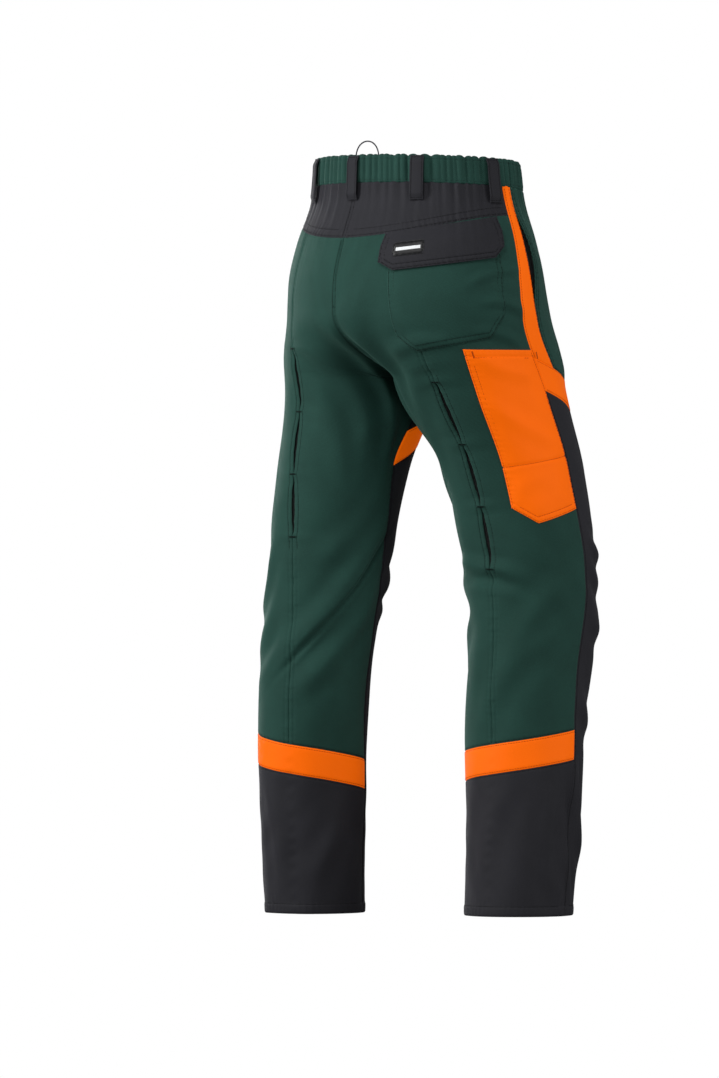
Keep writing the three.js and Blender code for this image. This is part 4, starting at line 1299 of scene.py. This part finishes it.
for where, angle in BELT_LOOPS.items():
    foot, out_of = waist_point(np.float64(angle), np.float64(-10), 0)
    top = waist_top(foot[1]) - 1
    t = np.linspace(0, 1, 46)
    z = top - LOOP_LONG * t
    cloth = (waist_point(angle + 0 * t, z, 0)[0] - foot) @ out_of
    lift = LOOP_LIFT + LOOP_ROOM * smooth(np.minimum(t, 1 - t) / 0.16) + LOOP_THICK / 2
    middle = foot + out_of * (cloth + lift)[:, None] - np.array([0, 0, 1]) * (foot[2] - z)[:, None]
    tangent = np.gradient(middle, axis=0)
    side_way = np.cross(out_of, [0, 0, 1.0])
    normal = np.cross(side_way, tangent)
    normal *= np.sign(normal @ out_of)[:, None] / np.linalg.norm(normal, axis=1, keepdims=True)
    loop = strap(f"belt_loop_{where}_strap", middle, normal, side_way, LOOP_WIDE, LOOP_THICK, dark_stretch)
    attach(loop, ROOT)
    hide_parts(f"belt_loop_{where}")
    rows = [(middle + side_way * x + normal * 0.8, normal) for x in (-7.6, 7.6)]
    across = np.linspace(-8, 8, 30)[:, None]
    for at in (2, 43):
        rows.append((middle[at] + side_way * across + normal[at] * 0.95, normal[at] + 0 * across))
    sew(f"belt_loop_{where}_topstitch", rows, dark_stretch, ROOT, stitch=2.4, gap=0.5)

# ---------------------------------------------------------------- pockets on the right leg
# Back pocket: a patch of green twill with two cut lower corners, sewn down with two rows of stitches 7 mm
# apart. It lies slack, so it stands a little off the seat in the middle.
SEAT = {"from": 15, "to": 91, "top": -118, "bottom": -246, "fall": 0.33}


def seat_bottom(angle, p=None):
    """The patch's lower edge, which slopes down towards the side and is cut off at both corners."""
    cut = np.maximum(0, 31 - angle) * 1.8 + np.maximum(0, angle - 80.5) * 2.4
    return SEAT["bottom"] - SEAT["fall"] * (angle - SEAT["from"]) + cut


def slack(rise_by, over):
    """A patch pocket's crown: it rises from its sewn edges over a distance, and stays up along its open
    top."""

    def crown(angle, z, away):
        rim = np.minimum(np.minimum(away["from"], away["to"]), away["bottom"])
        return rise_by * smooth(rim / over) - 0.7 * np.exp(-((rim / 1.0) ** 2))

    return crown


panel(
    "back_pocket_cloth",
    "right",
    between(level(SEAT["from"]), level(SEAT["to"]), level(SEAT["top"]), seat_bottom),
    green_twill,
    nodes=["back_pocket"],
    sewn=[("from", 2), ("to", 2), ("bottom", 2), ("from", 9), ("to", 9), ("bottom", 9)],
    offset=1.9,
    roll=0.3,
    trim=0,
    shape=slack(1.4, 24),
)

# Rule pocket: orange twill on the outside of the thigh, open at the top and pointed at the bottom, joined
# from two parts by a slanting seam. It is caught in the side seam in front.
RULE = {"top": -266, "seam": -420, "left": 53, "point": 33, "deep": -508, "shoulder": -487}
RULE_SLANT = 10 * RAD
RULE_CREASES = (
    (50, -345, -8, -402, 13, 1.5),
    (50, -279, 5, -306, 11, 1.2),
    (20, -440, 50, -462, 11, 0.8),
)


def rule_bottom(angle, p=None):
    """The pocket's lower edge: two slopes that meet in a point."""
    behind = (angle - RULE["point"]) / (RULE["left"] - RULE["point"])
    before = (RULE["point"] - angle) / (RULE["point"] + 13)
    return RULE["deep"] + (RULE["shoulder"] - RULE["deep"]) * np.where(angle > RULE["point"], behind, before)


def rule_seam_distance(angle, z):
    """Height above the seam between the pocket's two parts, which climbs towards the front."""
    y = bare_skin("right", angle, z)[..., 1]
    return (z - RULE["seam"]) * math.cos(RULE_SLANT) + (y + 60) * math.sin(RULE_SLANT)


def rule_shape(angle, z, away):
    """A slack crown with a few drag lines, drawn in along the seam and along the hem of the mouth."""
    crown = slack(2.0, 30)(angle, z, away)
    seam = np.exp(-((rule_seam_distance(angle, z) / 2.0) ** 2))
    hem = np.exp(-(((away["top"] - 11) / 1.6) ** 2))
    loose = smooth(away["from"] / 12) * smooth(away["to"] / 14)
    hang = sum(ridge(angle, z, crease) for crease in RULE_CREASES) * loose
    return crown - 1.3 * seam - 0.5 * hem + hang


rule_edges = between(lambda z: side_seam_back(z) + 1, level(RULE["left"]), level(RULE["top"]), rule_bottom)
panel(
    "thigh_pocket_cloth",
    "right",
    rule_edges,
    orange_twill,
    nodes=["thigh_pocket_upper", "thigh_pocket_lower"],
    sewn=[("from", 2), ("to", 2), ("bottom", 2), ("top", 11), ("to", 9, 0.06, 1), ("bottom", 9)],
    offset=1.9,
    roll=0.3,
    step=1.9,
    trim=0,
    shape=rule_shape,
)
u = np.linspace(0.015, 0.985, 200)
v = np.full(u.shape, 0.6)
for _ in range(12):  # settles on the seam between the two parts
    angle, z = solve("right", rule_edges, u, v, 0)
    v = v + rule_seam_distance(angle, z) / 225
line = skin("right", angle, z, 2.6), outward("right", angle, z)
sew("thigh_pocket_seam", [line], orange_twill, ROOT)
marks = [("right", angle, z, 0.05, TACK_LONG, 3.4) for angle, z in ((47.2, -273), (-9.5, -273))]
bars = tacks("thigh_pocket_tacks", marks, THREADS[orange_twill])
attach(bars, ROOT)

# Flap of the back pocket: dark stretch cloth, two layers, with its lower corners cut off. It is sewn under
# the yoke's edge and turns up about that seam.
FLAP = {"from": 13, "to": 96, "top": -80, "fall": 22, "tall": 57, "corner": 14}
flap_top = sloping(FLAP["top"], FLAP["fall"], FLAP["from"], FLAP["to"])


def flap_bottom(angle, p=None):
    """The flap's free edge, with both corners cut off."""
    edge = np.minimum(angle - FLAP["from"], FLAP["to"] - angle) * 1.7
    return flap_top(angle) - FLAP["tall"] + np.maximum(0, FLAP["corner"] - edge)


def flap_lift(angle, z, away):
    """The flap leaves the seat at its seam and lies over the pocket, 5.6 further out at its lower edge."""
    below = (flap_top(angle) - z) / FLAP["tall"]
    return 5.6 * smooth(below / 0.45) + 0.5 * np.sin(angle * RAD * 4) * below


panel(
    "back_pocket_flap_cloth",
    "right",
    between(level(FLAP["from"]), level(FLAP["to"]), flap_top, flap_bottom),
    dark_stretch,
    rides="pocket_flap",
    nodes=["back_pocket_flap"],
    sewn=[("from", 2), ("to", 2), ("bottom", 2), ("from", 8), ("to", 8), ("bottom", 8)],
    offset=2.2,
    thickness=1.6,
    roll=0.5,
    step=1.9,
    trim=0,
    shape=flap_lift,
)

# Label on the flap: black satin-woven polyester with a plain pale stripe, stitched round its edge. Satin is
# smooth, so it shines more than the cloth under it.
label_satin, stripe_satin = (
    woven(name, dark, light, rib=0.9, depth=0.06, rough=0.42, bloom=0.0, slant=0)
    for name, dark, light in (
        ("black_woven_satin_label", "#0A0A0B", "#151517"),
        ("pale_woven_satin_stripe", "#C9CCCE", "#E6E8E9"),
    )
)
SLOTS[label_satin], SLOTS[stripe_satin] = "label", "label"
THREADS[label_satin] = THREADS[lining_cloth]


def under_seam(depth):
    """A line on the flap that runs at a depth below its sewn edge."""
    return lambda angle, p=None: flap_top(angle) - depth


panel(
    "flap_label_satin",
    "right",
    between(level(70), level(88.5), under_seam(19), under_seam(39)),
    label_satin,
    rides="pocket_flap",
    nodes=["flap_label"],
    sewn=[("from", 1.2), ("to", 1.2), ("top", 1.2), ("bottom", 1.2)],
    offset=2.9,
    thickness=0.5,
    roll=0.1,
    step=1.2,
    trim=0,
    shape=flap_lift,
)
panel(
    "flap_label_stripe",
    "right",
    between(level(72), level(86.5), under_seam(27), under_seam(31.5)),
    stripe_satin,
    rides="pocket_flap",
    offset=3.05,
    thickness=0.1,
    roll=0.05,
    step=1.2,
    trim=0,
    shape=flap_lift,
)

# ---------------------------------------------------------------- fly
# The zip lies behind a cover, which is a fold of the left front, and in front of a shield that keeps it off
# the wearer. All three follow the curve of the belly.
FLY_TOP = -55
FORWARD = np.array([0, -1.0, 0])


def front_at(x, z, out_by):
    """Points of the body's front: y = middle - depth * sqrt(1 - (x / width)^2), moved forwards by out_by."""
    width, front, back = through(BODY, z)
    y = (front + back) / 2 - (back - front) / 2 * np.sqrt(1 - (x / width) ** 2) - out_by
    return np.stack([x + 0 * y, y, z + 0 * y], -1)


def front_rows(lines, out_by):
    """Lines of stitches on the body's front, given by their x and z."""
    return [(front_at(x, z, out_by(x, z)), FORWARD + 0 * x[:, None]) for x, z in lines]


def front_sheet(name, x, z, out_by, thickness, replaced, keep=None, rides=ROOT):
    """A sheet of green twill in front of the belly, over grids of x and z, with its edges rolled in."""
    points = front_at(x, z, out_by)
    row, column, away = edge_distances(points)
    rim = np.minimum.reduce(list(away.values()))
    points[..., 1] += 0.5 * np.exp(-((rim / 1.2) ** 2))
    made = grid_object(name, points, np.stack([row, column], -1), green_twill, FORWARD, keep)
    thicken(made, thickness)
    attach(made, rides)
    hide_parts(replaced)


def cover_lift(x, z):
    """The cover stands up over the zip, and comes down to its sewn edge at the side and at its lower end."""
    return 3.0 + 2.2 * smooth((44 - x) / 26) * smooth((z - FLY_BOTTOM) / 50)


COVER_TOP, COVER_EDGE, COVER_WIDE = FLY_TOP + 1.8, -16, 64
COVER_STITCH = 40  # the outer row of stitches runs this far from the centre, then curves in to the lower end
tall = COVER_TOP - FLY_BOTTOM
x, z = np.meshgrid(
    COVER_EDGE + COVER_WIDE * spread(COVER_WIDE, 1.8, [4], []), COVER_TOP - tall * spread(tall, 2)
)
front_sheet("fly_cover_cloth", x, z, cover_lift(x, z), 1.3, "fly_cover")
t = np.linspace(0, 1, 200)
curve_x = COVER_STITCH - 48 * smooth((t - 0.72) / 0.28)
curve_z = COVER_TOP - 3 - (tall - 7) * np.minimum(t / 0.86, 1)
straight = (0 * t + COVER_EDGE + 3, COVER_TOP - 3 - (tall - 7) * t)
rows = front_rows(
    ((curve_x, curve_z), (curve_x - 5, curve_z + 4), straight), lambda x, z: cover_lift(x, z) + 0.15
)
sew("fly_cover_topstitch", rows, green_twill, ROOT)
x, z = np.meshgrid(np.linspace(-24, 24, 26), np.linspace(COVER_TOP + 2, FLY_BOTTOM, 70))
front_sheet("fly_shield_cloth", x, z, -13.7, 1.3, "fly_shield")

# Zip: woven tape with a coil of nylon teeth 1.4 mm apart, and a nickel-plated slider and pull. It hangs
# straight, behind the cover.
ZIP_TOP_Z, ZIP_BOTTOM_Z, ZIP_INSIDE, TOOTH_APART = FLY_TOP - 4, FLY_BOTTOM + 6, 7, 1.4
SIDEWAYS = np.array([1.0, 0, 0])
zip_top, zip_end = (front_at(np.float64(0), np.float64(z), -ZIP_INSIDE) for z in (ZIP_TOP_Z, ZIP_BOTTOM_Z))
zip_down = (zip_end - zip_top) / np.linalg.norm(zip_end - zip_top)
zip_out = np.cross(zip_down, SIDEWAYS)
zip_out *= -np.sign(zip_out[1])
steps = np.arange(1, np.linalg.norm(zip_end - zip_top) - 1, TOOTH_APART)[:, None]
nylon = plain_thread("black_nylon_coil", "#1B1C1E")
for side, sign in SIDES.items():
    down = zip_down * (steps + sign * TOOTH_APART / 4)
    centres = zip_top + down + SIDEWAYS * sign * 2.0 + zip_out * 1.2
    each = 0 * centres
    teeth = threads(f"zip_teeth_{side}", centres, SIDEWAYS + each, zip_out + each, 2.0, 0.5, nylon)
    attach(teeth, ROOT)


def solid_finish(name, colour, second, scale, depth, **settings):
    """A finish on Object coordinates: two shades mixed by a noise, which also makes the bump."""
    material, tree = blank(bpy.data.materials, name)
    place = node(tree, "ShaderNodeTexCoord")
    grain = node(tree, "ShaderNodeTexNoise", {"Vector": place.outputs["Object"]}, Scale=scale, Detail=4.0)
    noise = grain.outputs["Fac"]
    shade = node(
        tree, "ShaderNodeMix", {0: noise}, data_type="RGBA", A=linear(colour), B=linear(second)
    )
    bump = node(tree, "ShaderNodeBump", {"Height": noise}, Strength=0.5, Distance=depth / 1000)
    sources = {"Base Color": shade.outputs[2], "Normal": bump.outputs[0]}
    shader = node(tree, "ShaderNodeBsdfPrincipled", sources, **settings)
    node(tree, "ShaderNodeOutputMaterial", {"Surface": shader.outputs[0]})
    return material


def finish(material, *names):
    """Gives CAD nodes a material in each of their slots."""
    for name in names:
        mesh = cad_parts[name].data
        if not mesh.materials:
            mesh.materials.append(material)
        for k in range(len(mesh.materials)):
            mesh.materials[k] = material


# Polyester tape, dyed black: a dull close weave with 0.6 mm ribs.
zip_tape = solid_finish(
    "black_polyester_zip_tape", "#151618", "#232528", 1700.0, 0.08, Roughness=0.75, Sheen_Weight=0.1
)
finish(zip_tape, "zip_tape_left", "zip_tape_right")
# Die-cast zinc with a nickel plating: bright, with the faint ripple of tumbling.
nickel = solid_finish("nickel_plated_zinc", "#B9B6AF", "#A7A49D", 160.0, 0.02, Metallic=1.0, Roughness=0.28)
finish(nickel, "zip_slider", "zip_pull")

# Waist tab: a doubled strip of green twill with a rounded end, which crosses the top of the fly and is held
# by a press stud of blackened brass. The cloth has a hole for the stud's stem.
TAB_SEWN, TAB_FREE, TAB_STUD, TAB_HIGH, STUD_ROOM = 38, -38, -26, 3.4, 5.6
tab_top, tab_bottom = waist_top(-WAIST_FRONT) - 1, waist_bottom(-WAIST_FRONT) + 2
half_tall, tab_middle = (tab_top - tab_bottom) / 2, (tab_top + tab_bottom) / 2


def tab_half(x):
    """Half the tab's height at x, which shrinks over its last 14 mm to a rounded end."""
    from_end = np.clip((TAB_FREE + 14 - x) / 14.2, 0, 1)
    return half_tall * (0.42 + 0.58 * np.sqrt(1 - from_end**2.6))


long = TAB_SEWN - TAB_FREE
share, down = np.meshgrid(spread(long, 1.5, [3], [3]), spread(2 * half_tall, 1.4, [3], [3]))
x = TAB_SEWN - long * share
z = tab_middle + tab_half(x) * (1 - 2 * down)
near_stud = np.hypot(x - TAB_STUD, z - tab_middle) < STUD_ROOM
keep = ~(near_stud[1:, 1:] | near_stud[:-1, :-1] | near_stud[1:, :-1] | near_stud[:-1, 1:])
front_sheet(
    "waist_tab_cloth", x, z, TAB_HIGH, 1.9, "waist_tab", keep=keep, rides="tab"
)
x = TAB_SEWN - 2 - (long - 8) * np.linspace(0, 1, 120)
rows = front_rows(
    [(x, tab_middle + sign * (tab_half(x) - 3)) for sign in (1, -1)], lambda x, z: TAB_HIGH + 0.1
)
sew("waist_tab_topstitch", rows, green_twill, "tab")
# Brass turned black in an acid bath: dark, with a soft metal gleam.
black_brass = solid_finish(
    "blackened_brass", "#4A4B4D", "#5E5F60", 220.0, 0.02, Metallic=1.0, Roughness=0.36
)
finish(black_brass, "press_stud_cap", "press_stud_post")

# Hanging loop: a thin dark braided cord, sewn into the waistband at both ends behind the centre back. The
# braid is eight strands that cross over and under.
HANG_X, HANG_HALF, HANG_LOW, HANG_RISE, CORD_THICK, HANG_INSIDE = -11, 23, -6, 20, 2.2, 13.6
hang_y = waist_point(np.float64(0), np.float64(-10), 0)[0][1] - HANG_INSIDE
arc = np.linspace(np.pi, 0, 90)
rising = np.sin(arc).clip(0) ** 0.8
middle = np.stack(
    [
        HANG_X - HANG_HALF * np.cos(arc),
        hang_y + 0 * arc,
        waist_top(hang_y) + HANG_LOW + (HANG_RISE - HANG_LOW) * rising,
    ],
    -1,
)
ahead = np.gradient(middle, axis=0)
ahead /= np.linalg.norm(ahead, axis=1, keepdims=True)
sideways = np.cross(ahead, [0, 1.0, 0])
turn = np.linspace(0, 2 * np.pi, 16, endpoint=False)[:, None, None]
wall = np.cos(turn) * np.array([0, 1.0, 0]) + np.sin(turn) * sideways[None]
walked = lengths(middle, 0)
# The strands swell the cord by 0.12 mm.
strands = np.sin(4 * turn[..., 0] + walked * 2.2) * np.sin(4 * turn[..., 0] - walked * 2.2)
cord_points = middle[None] + wall * ((CORD_THICK / 2 - 0.12) + 0.12 * strands)[..., None]
uv = np.stack([turn[..., 0] * CORD_THICK / 2 + 0 * walked[None], walked[None] + 0 * turn[..., 0]], -1)
braid = woven(
    "dark_braided_cord", "#26262B", "#3A3A41", rib=1.1, depth=0.25, rough=0.7, bloom=0.2, slant=0.8
)
loop = grid_object("hanging_loop_cord", cord_points, uv, braid, wall, closed=True)
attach(loop, "hang_loop")
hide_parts("hanging_loop")
